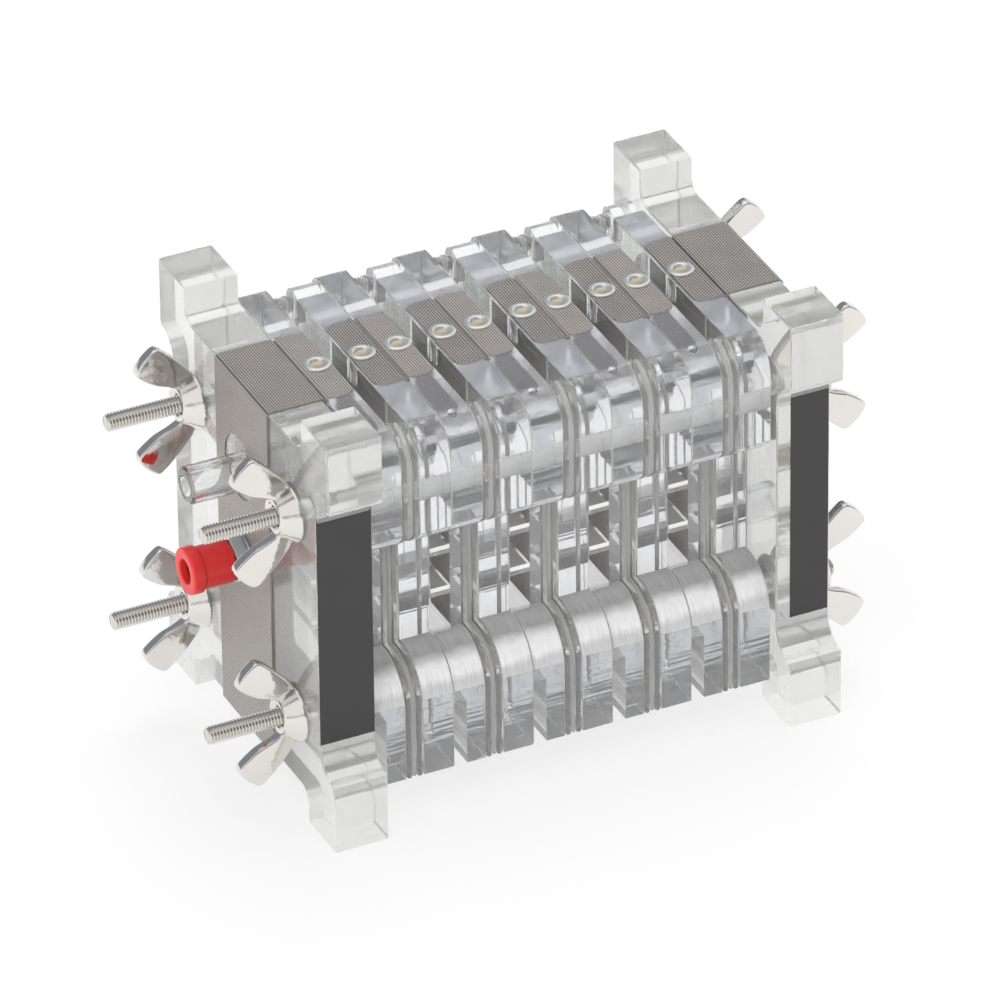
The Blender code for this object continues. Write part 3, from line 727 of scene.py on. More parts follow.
def moved(mesh, offset, turned=None):
    """A copy of the mesh somewhere else, turned about its own origin first."""
    copy = mesh.copy()
    if turned is not None:
        copy.transform(turned)
    copy.transform(Matrix.Translation(offset))
    return copy


print("mesh tools ready")


# %% Pieces
def add_piece(name, mesh, materials, nodes, sharp=26.0):
    """One finished piece, moved from the drawing into the frame."""
    mesh.name = name
    kinds = [face.material_index for face in mesh.polygons]
    mesh.materials.clear()
    for material in materials:
        mesh.materials.append(material)
    for face, kind in zip(mesh.polygons, kinds):
        face.material_index = min(kind, len(materials) - 1)
    mesh.transform(Matrix.Translation(MIDDLE))
    mesh.shade_smooth()
    mesh.set_sharp_from_angle(angle=math.radians(sharp))
    obj = placed(name, mesh)
    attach(obj, "root")
    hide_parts(*nodes)


def place_of(node, side=0):
    """Where a node's left face, or with side=1 its right face, lies along the drawing's X."""
    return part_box(node)[side].x - MIDDLE.x


CELLS = ("1", "2", "3", "4", "5")
print("pieces can be added")

# %% [markdown]
# ## End plates
# Each end plate is a 12 mm block of clear acrylic with four square feet that are rounded
# into its sides. The studs pass through it, a socket and a gas tube are set into it. The
# outline is drawn once with fine arcs, and the two plates differ in the tube's height.

# %% End plates
END_T = END_OUTER_X - END_INNER_X
BODY_Y, BODY_Z = 34.4 * MM, 40.5 * MM
FOOT_Y, FOOT_W, FOOT_Z = 40.4 * MM, 12.5 * MM, 47.95 * MM
FOOT_SIDE_H, FOOT_INNER_R = 15.5 * MM, 3.0 * MM
STUD_Y, STUD_Z, STUD_HOLE_D = 23.3 * MM, 23.9 * MM, 4.6 * MM
SHANK_HOLE_D, PORT_HOLE_D = 6.5 * MM, 3.0 * MM
NOZZLE_Z, NOZZLE_D, NOZZLE_BORE_D = 20.3 * MM, 8.0 * MM, 4.8 * MM
NOZZLE_REACH, NOZZLE_DEPTH = 13.0 * MM, 8.0 * MM
GAP, END_CHAMFER, TUBE_RIM = 0.1 * MM, 0.3 * MM, 0.5 * MM
CAST_FACE, SAWN_EDGE, CHAMFER, BORE, LOBE, TOP, SLOT, LOWER_SIDE = range(8)


def end_outline():
    side_r = FOOT_Y - BODY_Y
    side_z = FOOT_Z - FOOT_SIDE_H
    inner_y = FOOT_Y - FOOT_W
    quarter = arc((inner_y - FOOT_INNER_R, BODY_Z + FOOT_INNER_R), FOOT_INNER_R, -90, 0, 10)
    quarter += [(inner_y, FOOT_Z), (FOOT_Y, FOOT_Z)]
    quarter += arc((FOOT_Y, side_z - side_r), side_r, 90, 180, 14)
    lower = [(y, -z) for y, z in reversed(quarter)]
    half = quarter + lower
    return half + flipped(half)


def stud_holes(steps=40):
    places = [(y, z) for y in (-STUD_Y, STUD_Y) for z in (-STUD_Z, STUD_Z)]
    return [circle(place, STUD_HOLE_D, steps) for place in places]


HALF_TURN = Matrix.Rotation(math.pi, 4, "Z")
ENDS = (("left", -1, "inlet", "positive"), ("right", 1, "outlet", "negative"))


def to_side(mesh, side):
    """Pieces are drawn for the right end; the left one is the same, turned half round."""
    return moved(mesh, (0, 0, 0), HALF_TURN) if side < 0 else mesh


def basic_kind(face):
    """Big faces look along X, chamfers half so, and sawn edges not at all."""
    across = abs(face.normal.x)
    return CAST_FACE if across > 0.9 else CHAMFER if across > 0.4 else SAWN_EDGE


for label, side, role, pole in ENDS:
    nozzle_z = -side * NOZZLE_Z
    holes = stud_holes() + [circle((0, 0), SHANK_HOLE_D, 40), circle((0, nozzle_z), PORT_HOLE_D, 24)]
    mesh = plate("end_plate", end_outline(), END_T, END_CHAMFER, holes)
    seat = rod((END_T + MM, 0, nozzle_z), (-1, 0, 0), NOZZLE_DEPTH + GAP + MM, NOZZLE_D + 2 * GAP)
    mesh = to_side(moved(carved(mesh, [seat]), (END_INNER_X, 0, 0)), side)
    for face in mesh.polygons:
        face.material_index = basic_kind(face)
    add_piece("clear_end_" + label, mesh, [END_FACE, END_EDGE, BROKEN_EDGE],
              ["end_plate_" + label])

    outer, bore = NOZZLE_D / 2, NOZZLE_BORE_D / 2
    start, tip = END_OUTER_X - NOZZLE_DEPTH, END_OUTER_X + NOZZLE_REACH
    profile = [(start, bore), (start, outer), (tip - TUBE_RIM, outer), (tip, outer - TUBE_RIM),
               (tip, bore + GAP), (tip - GAP, bore)]
    mesh = moved(spun("nozzle", profile, 64), (0, 0, nozzle_z))
    add_piece("gas_tube_" + role, to_side(mesh, side), [ACRYLIC_FACE],
              ["gas_" + role + "_nozzle"])
print("end plates and gas tubes done")

# %% [markdown]
# ## Cell plates
# A cell has an air plate, open to the front and back through three slots, and a closed
# hydrogen plate with a ribbed pocket for the gas. Both follow the round lobes of the
# studs. The slots, windows and recesses are cut, because light shows every one of them.

# %% Plate outlines
PLATE_T = 6.95 * MM
EDGE_Y, TOP_Z, BOTTOM_Z = 33.0 * MM, 40.3 * MM, -40.3 * MM
TOP_CORNER_R, BACK_CORNER_R, LOBE_CORNER_R = 8.0 * MM, 2.9 * MM, 2.5 * MM
WAIST_Y, UPPER_LOBE_R = 22.0 * MM, 11.6 * MM
LOWER_LOBE_R = EDGE_Y - STUD_Y


def upper_lobe(corner_r):
    reach = UPPER_LOBE_R - corner_r
    across = EDGE_Y - corner_r - STUD_Y
    corner = (EDGE_Y - corner_r, STUD_Z - math.sqrt(reach ** 2 - across ** 2))
    meet = math.degrees(math.atan2(corner[1] - STUD_Z, corner[0] - STUD_Y))
    end = -90 - math.degrees(math.asin((STUD_Y - WAIST_Y) / UPPER_LOBE_R))
    points = arc(corner, corner_r, 0, meet, 6)[:-1] if corner_r > 0 else []
    return points + arc((STUD_Y, STUD_Z), UPPER_LOBE_R, meet, end, 16)


def lower_lobe():
    start = 90 + math.degrees(math.asin((STUD_Y - WAIST_Y) / LOWER_LOBE_R))
    return arc((STUD_Y, -STUD_Z), LOWER_LOBE_R, start, 0, 22) + [(EDGE_Y, BOTTOM_Z)]


def top_corner(radius, steps):
    return arc((EDGE_Y - radius, TOP_Z - radius), radius, 90, 0, steps)


def plate_outline(back_top, corner_r):
    back_half = back_top + upper_lobe(corner_r) + lower_lobe()
    front_half = top_corner(TOP_CORNER_R, 18) + upper_lobe(corner_r) + lower_lobe()
    return back_half + flipped(front_half)


print("corners of an air plate:", len(plate_outline(top_corner(BACK_CORNER_R, 8), LOBE_CORNER_R)))

# %% [markdown]
# One cell plate shows eight finishes, because each face was made in its own way: big
# faces as cast, sawn edges, broken corners, drilled bores, sanded lobes with a painted
# highlight, polished tops, milled slots in painted shade and rippled lower sides. A face's
# place and direction say which it is.

# %% Faces of a cell plate
SLOT_T, SLOT_PITCH, SLOT_H, SLOT_MID_Z = 4.5 * MM, 9.7 * MM, 7.7 * MM, -0.4 * MM
ACTIVE, PLATE_CHAMFER, RIB_BACK = 25.0 * MM, 0.15 * MM, 0.05 * MM
SLOTS_Z, TOP_KIND_Z, FOOT_KIND_Z, SIDE_KIND_Y = 15.0 * MM, 39.0 * MM, -40.0 * MM, 32.0 * MM
SLOT_SKIN = 0.2 * MM
NEAR_STUD = STUD_HOLE_D / 2 + 0.2 * MM


def cell_kind(face):
    """Which finish a face of a cell plate gets, by where it is and where it looks."""
    normal, spot = face.normal, face.center
    y, z = abs(spot.y), abs(spot.z)
    from_stud = math.hypot(y - STUD_Y, z - STUD_Z)
    kind = basic_kind(face)
    in_slot = ACTIVE / 2 + GAP < y < WAIST_Y and z < SLOTS_Z and SLOT_SKIN < spot.x < SLOT_T + GAP
    if in_slot and (kind == CAST_FACE or abs(normal.z) > 0.9):
        return SLOT
    if kind != SAWN_EDGE:
        return kind
    if from_stud < NEAR_STUD or abs(normal.y) > 0.9 and abs(y - WAIST_Y + RIB_BACK) < GAP / 10:
        return BORE
    if abs(normal.y) > 0.99 and FOOT_KIND_Z < spot.z < -STUD_Z and y > SIDE_KIND_Y:
        return LOWER_SIDE
    if spot.z < 0 and abs(from_stud - LOWER_LOBE_R) < GAP and abs(normal.z) > 0.15:
        return LOBE
    return TOP if normal.z > 0.99 and spot.z > TOP_KIND_Z else SAWN_EDGE


def cell_plate(name, outline, cutters, boss=None):
    mesh = plate(name, outline, PLATE_T, PLATE_CHAMFER, stud_holes())
    mesh = carved(mesh, cutters, boss)
    for face in mesh.polygons:
        face.material_index = cell_kind(face)
    return mesh


def cell_finishes(top):
    return [ACRYLIC_FACE, ACRYLIC_EDGE, BROKEN_EDGE, FROSTED, SANDED_PAINTED_HIGHLIGHT, top, MILLED_PAINTED_SHADE, ACRYLIC_BOTTOM]


print("finishes on one cell plate:", len(cell_finishes(AIR_TOP)))

# %% Air plates
DUCT_T, DUCT_TOP_Z = 2.7 * MM, -25.2 * MM
EYELET_INSET, EYELET_HOLE_D, EYELET_HOLE = 3.9 * MM, 4.6 * MM, 5.5 * MM
MESH_FOOT_Z, POCKET_T, POCKET_W, POCKET_SPARE = -38.0 * MM, 0.5 * MM, 26.4 * MM, 0.7 * MM
DIMPLE_X, DIMPLE_Y, DIMPLE_D, DIMPLE_DEPTH = 3.0 * MM, -27.2 * MM, 2.0 * MM, 0.9 * MM


def eyelet_hole(x):
    return rod((x, 0, TOP_Z - EYELET_HOLE), (0, 0, 1), EYELET_HOLE + MM, EYELET_HOLE_D, 40)


def mesh_pocket(x_face, inwards):
    low_x, high_x = sorted((x_face - inwards * MM, x_face + inwards * POCKET_T))
    return block((low_x, -POCKET_W / 2, MESH_FOOT_Z - POCKET_SPARE), (high_x, POCKET_W / 2, TOP_Z + MM))


waist_top = upper_lobe(LOBE_CORNER_R)[-1][1]
wide = EDGE_Y + MM
cuts = [mesh_pocket(0, 1), eyelet_hole(EYELET_INSET)]
cuts.append(rod((DIMPLE_X, DIMPLE_Y, TOP_Z - DIMPLE_DEPTH), (0, 0, 1), 2 * MM, DIMPLE_D, 32))
for i in (-1, 0, 1):
    low = SLOT_MID_Z + i * SLOT_PITCH - SLOT_H / 2
    high = min(low + SLOT_H, waist_top - GAP)
    cuts.append(block((-MM, -wide, low), (SLOT_T, wide, high)))
    cuts.append(block((SLOT_T - MM, -ACTIVE / 2, low), (PLATE_T + MM, ACTIVE / 2, high)))
    for side in (-1, 1):
        near, far = sorted((side * (WAIST_Y - RIB_BACK), side * (WAIST_Y + MM)))
        cuts.append(block((-MM, near, low - MM), (SLOT_T, far, low + MM)))
cuts.append(block((-MM, -wide, BOTTOM_Z - MM), (DUCT_T, wide, DUCT_TOP_Z)))
outline = plate_outline(top_corner(BACK_CORNER_R, 8), LOBE_CORNER_R)
air_plate = cell_plate("air_plate", outline, cuts)
for i in CELLS:
    mesh = moved(air_plate, (place_of("air_plate_" + i), 0, 0))
    add_piece("air_side_" + i, mesh, cell_finishes(AIR_TOP), ["air_plate_" + i])
print("faces of one air plate:", len(air_plate.polygons))

# %% Hydrogen plates
STEP_Y, STEP_Z = 24.9 * MM, 34.5 * MM
PORT_R, PORT_T, PORT_Z = 2.9 * MM, 5.5 * MM, 36.5 * MM
FIELD_T, RIB_W, RIBS = 1.2 * MM, 1.6 * MM, 3

outline = plate_outline([(STEP_Y, TOP_Z), (STEP_Y, STEP_Z), (EDGE_Y, STEP_Z)], 0.0)
port = rod((PLATE_T - PORT_T, EDGE_Y - PORT_R, PORT_Z), (1, 0, 0), PORT_T, 2 * PORT_R)
channel_w = (ACTIVE - RIBS * RIB_W) / (RIBS + 1)
cuts = [mesh_pocket(PLATE_T, -1)]
for i in range(RIBS + 1):
    low = -ACTIVE / 2 + i * (channel_w + RIB_W)
    cuts.append(block((-MM, low, -ACTIVE / 2), (FIELD_T, low + channel_w, ACTIVE / 2)))
cuts.append(eyelet_hole(PLATE_T - EYELET_INSET))
hydrogen_plate = cell_plate("hydrogen_plate", outline, cuts, port)
for i in CELLS:
    mesh = moved(hydrogen_plate, (place_of("hydrogen_plate_" + i), 0, 0))
    add_piece("hydrogen_side_" + i, mesh, cell_finishes(HYDROGEN_TOP),
              ["hydrogen_plate_" + i])
print("faces of one hydrogen plate:", len(hydrogen_plate.polygons))

# %% [markdown]
# ## Seals and membranes
# Between the two plates of a cell lie a seal, the membrane and a second seal. Their
# edges are soft, so the chamfer is bigger here, and the membrane stands back a little.

# %% Seals and membranes
GASKET_T, MEMBRANE_T = 1.3 * MM, 0.82 * MM
NOTCH_Y, NOTCH_Z = 25.5 * MM, 33.5 * MM
SEAL_CHAMFER, FILM_BACK = 0.3 * MM, 0.15 * MM


def seal_outline():
    centre = (EDGE_Y - TOP_CORNER_R, TOP_Z - TOP_CORNER_R)
    start = 90 - math.degrees(math.asin((NOTCH_Y - centre[0]) / TOP_CORNER_R))
    half = [(NOTCH_Y, NOTCH_Z)] + arc(centre, TOP_CORNER_R, start, 0, 18)
    half += upper_lobe(LOBE_CORNER_R) + lower_lobe()
    return half + flipped(half)


window = ACTIVE / 2 + MM
opening = [(-window, -window), (window, -window), (window, window), (-window, window)]
gasket = plate("gasket", seal_outline(), GASKET_T, SEAL_CHAMFER, stud_holes(24) + [opening])
membrane = plate("membrane", inset(seal_outline(), FILM_BACK), MEMBRANE_T, FILM_BACK, stud_holes(24))
SOFT = (("air_gasket_", gasket, SEAL, "clear_seal"), ("hydrogen_gasket_", gasket, SEAL, "clear_seal"),
        ("membrane_", membrane, MEMBRANE, "membrane_film"))
for i in CELLS:
    for kind, mesh, material, slot in SOFT:
        mesh = moved(mesh, (place_of(kind + i), 0, 0))
        add_piece("soft_" + kind + i, mesh, [material], [kind + i])
print("seals and membranes done")

# %% [markdown]
# ## Mesh current collectors
# A collector is one ribbon of mesh: a leg inside the cell, a fold over the plate's top
# and a short tab with rounded corners that an eyelet rivets down. `ribbon` gives a path
# in XZ a thickness, and a half width for each of its points makes the round corners.


# %% Ribbon
def ribbon(name, points, half_widths, thickness):
    """A closed band along the points (x, z), thickness to the left of its direction."""
    bm = bmesh.new()
    rails = []
    for i, (x, z) in enumerate(points):
        before, after = Vector(points[max(i - 1, 0)]), Vector(points[min(i + 1, len(points) - 1)])
        ahead = (after - before).normalized()
        lean = 1.0
        if 0 < i < len(points) - 1:
            lean = max(0.5, (Vector((x, z)) - before).normalized().dot(ahead))
        normal = Vector((-ahead.y, ahead.x)) * (thickness / lean)
        half, far_x, far_z = half_widths[i], x + normal.x, z + normal.y
        corners = [(x, -half, z), (x, half, z), (far_x, half, far_z), (far_x, -half, far_z)]
        rails.append([bm.verts.new(c) for c in corners])
    for first, second in zip(rails, rails[1:]):
        bridge(bm, first, second)
    bm.faces.new(rails[0])
    bm.faces.new(rails[-1])
    return to_mesh(name, bm)


MESH_T, MESH_W = 0.35 * MM, 25.0 * MM
TAB_REACH, TAB_CORNER, CORNER_STEPS = 6.6 * MM, 2.2 * MM, 8
FOLD_R, FOLD_START, TAB_BORE_D = 0.45 * MM, 0.1 * MM, 3.7 * MM
FOLD = ((0.40, 0.02), (0.60, 0.16), (0.90, 0.20), (1.30, 0.12), (1.75, 0.0))


def collector():
    """The leg hangs from the fold at x = 0 and the tab reaches towards +X."""
    top, half = TOP_Z + GAP, MESH_W / 2
    path = [(MESH_T, MESH_FOOT_Z), (MESH_T, top + MESH_T - FOLD_R - FOLD_START)]
    path += [(x * MM, top + z * MM) for x, z in FOLD]
    widths = [half] * len(path)
    for i in range(CORNER_STEPS + 1):
        a = math.pi / 2 * i / CORNER_STEPS
        path.append((TAB_REACH - TAB_CORNER + TAB_CORNER * math.sin(a) * 0.999, top))
        widths.append(half - TAB_CORNER + TAB_CORNER * math.cos(a))
    mesh = ribbon("collector", path, widths, MESH_T)
    return carved(mesh, [rod((EYELET_INSET, 0, top - MM), (0, 0, 1), 2 * MM, TAB_BORE_D, 32)])


air_collector = collector()
hydrogen_collector = moved(air_collector, (0, 0, 0), Matrix.Diagonal((-1.0, 1.0, 1.0, 1.0)))
hydrogen_collector.flip_normals()
for i in CELLS:
    for kind, face, mesh, finish in (("air_", 0, air_collector, BRIGHT_MESH),
                                     ("hydrogen_", 1, hydrogen_collector, MESH)):
        mesh = moved(mesh, (place_of(kind + "plate_" + i, face), 0, 0))
        add_piece(kind + "mesh_" + i, mesh, [finish], [kind + "collector_" + i], 60)
print("collectors done")

# %% [markdown]
# The eyelets are all the same pressed ring, ten times over, so Geometry Nodes put one
# copy on each point of a small mesh. The tree ends in Realize Instances and Set
# Material, and the result becomes a plain mesh. The wing nuts use the same tree later.


# %% Copies on points
def new_tree(name, sockets):
    """A Geometry Nodes tree with named inputs, and a mesh as its output."""
    tree = bpy.data.node_groups.new(name, "GeometryNodeTree")
    for key, kind in sockets.items():
        tree.interface.new_socket(name=key, in_out="INPUT", socket_type="NodeSocket" + kind)
    tree.interface.new_socket(name="Geometry", in_out="OUTPUT", socket_type="NodeSocketGeometry")
    return tree, Maker(tree)


def end_tree(make, geometry, finish):
    real = make.node("GeometryNodeRealizeInstances", None, {"Geometry": geometry})
    done = make.node("GeometryNodeSetMaterial", None, {"Geometry": real, "Material": finish})
    make.node("NodeGroupOutput", None, {"Geometry": done})


def grown(name, mesh, tree, values):
    """The plain mesh that a tree makes of a mesh. An input is set by its identifier."""
    holder = placed("holder", mesh)
    modifier = holder.modifiers.new("tree", "NODES")
    modifier.node_group = tree
    inputs = [item for item in tree.interface.items_tree if item.in_out == "INPUT"]
    for item in inputs:
        if item.name in values:
            modifier[item.identifier] = values[item.name]
    return plain_mesh(holder, name)


COPIES, make = new_tree("copies_on_points", {
    "Geometry": "Geometry", "Part": "Object", "Size": "Float", "Finish": "Material"})
given = make.node("NodeGroupInput")
part = make.node("GeometryNodeObjectInfo", None, {"Object": given.of("Part")}, "Geometry")
turned = make.node("GeometryNodeInputNamedAttribute", {"data_type": "FLOAT_VECTOR"}, {"Name": "turned"})
many = make.node("GeometryNodeInstanceOnPoints", None, {
    "Points": given, "Instance": part, "Rotation": turned, "Scale": given.of("Size")})
end_tree(make, many, given.of("Finish"))


def copies(name, mesh, spots, turns, material):
    """The mesh once at every spot, each turned by its own three angles, as one mesh."""
    part = placed("part", mesh)
    points = bpy.data.meshes.new("points")
    points.from_pydata(spots, [], [])
    angles = points.attributes.new("turned", "FLOAT_VECTOR", "POINT")
    for item, angle in zip(angles.data, turns):
        item.vector = angle
    result = grown(name, points, COPIES, {"Part": part, "Size": 1.0, "Finish": material})
    bpy.data.objects.remove(part, do_unlink=True)
    return result


print("tree:", COPIES.name)

# %% Eyelets
EYELET_PROFILE = [(0.0, 2.74), (0.12, 2.80), (0.28, 2.76), (0.40, 2.60), (0.47, 2.35), (0.50, 2.10),
                  (0.47, 1.88), (0.36, 1.70), (0.12, 1.55), (-0.15, 1.46), (-0.15, 2.70)]
CUP_PROFILE = [(-0.15, 1.80), (-0.15, 1.45), (-0.24, 1.40), (-0.34, 1.10), (-0.38, 0.02),
               (-3.2, 0.02), (-3.2, 1.80)]
UPRIGHT = Matrix.Rotation(-math.pi / 2, 4, "Y")
spots, nodes = [], []
for i in CELLS:
    for kind, face in (("air_", 0), ("hydrogen_", 1)):
        x = place_of(kind + "plate_" + i, face) + (1 - 2 * face) * EYELET_INSET
        spots.append((x, 0, TOP_Z + GAP + MESH_T))
        nodes.append(kind + "collector_" + i)
for name, profile, finish in (("eyelets", EYELET_PROFILE, EYELET_SILVER),
                              ("eyelet_cups", CUP_PROFILE, CUP_METAL)):
    ring = spun(name, [(x * MM, r * MM) for x, r in profile], 40)
    ring.transform(UPRIGHT)
    rings = copies(name, ring, spots, [(0, 0, 0)] * len(spots), finish)
    add_piece(name, rings, [finish], nodes, 40)
print("eyelets:", len(spots))

# %% [markdown]
# At both ends a longer strip of the same mesh comes up between the last plate and the
# end plate, crosses the end plate's top and hangs down its outside, where the socket's
# nut presses on it. A round opening leaves the gas tube free.

# %% End strips
STRIP_FOOT_Z, STRIP_INNER = -41.2 * MM, 30.0 * MM
PORT_OPENING_R, PORT_OPENING_Y = 7.0 * MM, -1.5 * MM
WIDE_BEND, TIGHT_BEND = 0.8 * MM, 0.35 * MM

top, inner, outer = BODY_Z + GAP, END_INNER_X - GAP, END_OUTER_X + GAP
path = [(inner, top - STRIP_INNER)]
path += arc((inner + TIGHT_BEND, top - TIGHT_BEND), TIGHT_BEND, 90, 180, 5)[::-1]
path += arc((outer - WIDE_BEND, top - WIDE_BEND), WIDE_BEND, 0, 90, 8)[::-1]
path += [(outer, STRIP_FOOT_Z)]
for label, side, role, pole in ENDS:
    mesh = ribbon("end_strip", path, [MESH_W / 2] * len(path), MESH_T)
    opening = (outer - MM, PORT_OPENING_Y, -side * NOZZLE_Z)
    bores = [rod(opening, (1, 0, 0), 3 * MM, 2 * PORT_OPENING_R, 64),
             rod((outer - MM, 0, 0), (1, 0, 0), 3 * MM, SHANK_HOLE_D, 40)]
    mesh = to_side(carved(mesh, bores), side)
    add_piece("mesh_strip_" + label, mesh, [STRIP_MESH], ["end_strip_" + label], 60)
print("end strips done")

# %% [markdown]
# ## Sockets
# A 4 mm plug socket stands on each end: a plastic cap with a wider head, a sprung metal
# contact inside it, a zinc nut and a thin washer that press on the mesh.

# %% Sockets
SOCKET_TIP_X = END_OUTER_X + 13.65 * MM
STRIP_FACE_X = END_OUTER_X + GAP + MESH_T
NUT_SEAT_X, NUT_T, NUT_FLATS = END_OUTER_X + 0.55 * MM, 3.3 * MM, 9.0 * MM
NUT_BORE_D, NUT_CHAMFER = 6.1 * MM, 0.3 * MM
WASHER_T, WASHER_D, WASHER_BORE_D, WASHER_CHAMFER = 0.55 * MM, 10.4 * MM, 6.2 * MM, 0.12 * MM
CAP_BODY_R, CAP_HEAD_R, MOUTH_R, CAP_BORE_R = 4.5 * MM, 5.0 * MM, 2.65 * MM, 3.25 * MM
HEAD_T, NECK_R, RIM_R, MOUTH_ROUND = 2.7 * MM, 0.25 * MM, 0.45 * MM, 0.3 * MM
MOUTH_DEPTH, BORE_DEPTH = 1.6 * MM, 2.6 * MM
CONTACT_BORE_R, SHANK_R, SLEEVE_R = 2.0 * MM, 2.95 * MM, 2.4 * MM
SHANK_START, CONTACT_END = END_OUTER_X - 8.0 * MM, SOCKET_TIP_X - 1.9 * MM


def cap_profile():
    base, neck, tip = NUT_SEAT_X + NUT_T + GAP, SOCKET_TIP_X - HEAD_T, SOCKET_TIP_X
    profile = [(base, CAP_BORE_R), (base, CAP_BODY_R - 2 * GAP), (base + 2 * GAP, CAP_BODY_R),
               (neck - GAP, CAP_BODY_R), (neck, CAP_BODY_R + GAP)]
    profile += arc((neck + NECK_R, CAP_HEAD_R - NECK_R), NECK_R, 180, 90, 3)
    profile += arc((tip - RIM_R, CAP_HEAD_R - RIM_R), RIM_R, 90, 0, 5)
    profile += arc((tip - MOUTH_ROUND, MOUTH_R + MOUTH_ROUND), MOUTH_ROUND, 0, -90, 4)
    return profile + [(tip - MOUTH_DEPTH, MOUTH_R), (tip - BORE_DEPTH, CAP_BORE_R)]


def contact_profile():
    end, rounding = CONTACT_END, CONTACT_END - 2 * GAP
    return [(SHANK_START, CONTACT_BORE_R), (SHANK_START, SHANK_R), (end - MM, SHANK_R),
            (rounding, SLEEVE_R), (end, SLEEVE_R - GAP), (end, CONTACT_BORE_R + GAP),
            (rounding, CONTACT_BORE_R)]


def hexagon(flats):
    corner_r = flats / 2 / math.cos(math.pi / 6)
    return arc((0, 0), corner_r, 30, 390, 6)[:-1]


washer_x = STRIP_FACE_X + GAP / 2
nut_x = washer_x + WASHER_T
washer_disc, washer_hole = circle((0, 0), WASHER_D, 64), circle((0, 0), WASHER_BORE_D, 40)
nut_t, nut_hole = NUT_SEAT_X + NUT_T - nut_x, circle((0, 0), NUT_BORE_D, 40)
for label, side, role, pole in ENDS:
    plastic, slot = (RED, "red_plastic") if side < 0 else (BLACK, "black_plastic")
    nut = plate("nut", hexagon(NUT_FLATS), nut_t, NUT_CHAMFER, [nut_hole])
    washer = plate("washer", washer_disc, WASHER_T - GAP / 5, WASHER_CHAMFER, [washer_hole])
    for name, mesh, finish, mesh_slot, node in (
            ("_cap", spun("cap", cap_profile(), 72), plastic, slot, "_cap"),
            ("_contact", spun("contact", contact_profile(), 48), CONTACT_METAL, "nickel_plate",
             "_contact"),
            ("_nut", moved(nut, (nut_x, 0, 0)), ZINC, "zinc_plate", "_nut"),
            ("_washer", moved(washer, (washer_x, 0, 0)), ZINC, "zinc_plate", "_nut")):
        add_piece(pole + name, to_side(mesh, side), [finish], [pole + "_socket" + node])
print("sockets done")

# %% [markdown]
# ## Tie studs
# The studs are threaded rods with 0.7 mm pitch. A thread follows a rule, so Geometry
# Nodes wrap a flat grid round the axis: six rows of the grid make one pitch, and each
# row climbs by one pitch on its way round, so that the crest does too.

# %% Threaded studs
THREAD_PITCH, THREAD_DEPTH, STUD_R, STUD_CHAMFER = 0.7 * MM, 0.40 * MM, 1.95 * MM, 0.5 * MM
STUD_START, STUD_END = -(END_OUTER_X + 20.0 * MM), END_OUTER_X + 6.2 * MM
ROWS_PER_TURN, ROUND = 6, 28
SAME_PLACE, WELD = 1e-7, 2e-6

THREAD, make = new_tree("thread", {
    "Start": "Float", "End": "Float", "Radius": "Float", "Depth": "Float", "Pitch": "Float",
    "Chamfer": "Float", "Finish": "Material"})
given = make.node("NodeGroupInput")
start, end, pitch = given.of("Start"), given.of("End"), given.of("Pitch")
rows = math.floor(((end - start) / pitch + 2) * ROWS_PER_TURN)
grid = make.node("GeometryNodeMeshGrid", None, {
    "Size X": 1.0, "Size Y": 1.0, "Vertices X": rows + 1, "Vertices Y": ROUND + 1}, "Mesh")
place = make.node("ShaderNodeSeparateXYZ", None, {0: make.node("GeometryNodeInputPosition")})
row = math.floor((place + 0.5) * rows + 0.5)
turned = row / ROWS_PER_TURN
round_share = place.of("Y") + 0.5
along = start - pitch + (turned + round_share) * pitch
inside = along.maths("MINIMUM", along.maths("MAXIMUM", along, start), end)
flank = abs(turned - math.floor(turned) - 0.5) * 2
radius = given.of("Radius") - given.of("Depth") * (1 - make.between(flank, 0.12, 0.88))
from_end = inside.maths("MINIMUM", inside - start, end - inside)
limit = given.of("Radius") - given.of("Chamfer") + from_end
radius = radius.maths("MINIMUM", radius, limit) * inside.maths("COMPARE", along, inside, SAME_PLACE)
angle = round_share * math.tau
spot = make.node("ShaderNodeCombineXYZ", None, {
    "X": inside, "Y": radius * angle.maths("COSINE", angle), "Z": radius * angle.maths("SINE", angle)})
wrapped = make.node("GeometryNodeSetPosition", None, {"Geometry": grid, "Position": spot})
closed = make.node("GeometryNodeMergeByDistance", None, {"Geometry": wrapped, "Distance": WELD})
end_tree(make, closed, given.of("Finish"))

stud = grown("stud", bpy.data.meshes.new("empty"), THREAD, {
    "Start": STUD_START, "End": STUD_END, "Radius": STUD_R, "Depth": THREAD_DEPTH,
    "Pitch": THREAD_PITCH, "Chamfer": STUD_CHAMFER, "Finish": STUD_STEEL})
bm = bmesh.new()
bm.from_mesh(stud)
stud = to_mesh("stud", bm)
CORNERS = [(y, z) for z in (STUD_Z, -STUD_Z) for y in (STUD_Y, -STUD_Y)]
for i, (y, z) in zip("1234", CORNERS):
    mesh = moved(stud, (0, y, z))
    add_piece("threaded_stud_" + i, mesh, [STUD_STEEL], ["tie_stud_" + i], 60)
print("faces of one stud:", len(stud.polygons))

# %% [markdown]
# ## Wing nuts
# A wing nut is a cast cone with two blades, polished and nickel plated. The cone is spun
# from a profile with rounded rims. A blade is a flat outline with a heavy round on its
# edges, which a Bevel modifier makes. Eight copies stand on the studs as they were left.

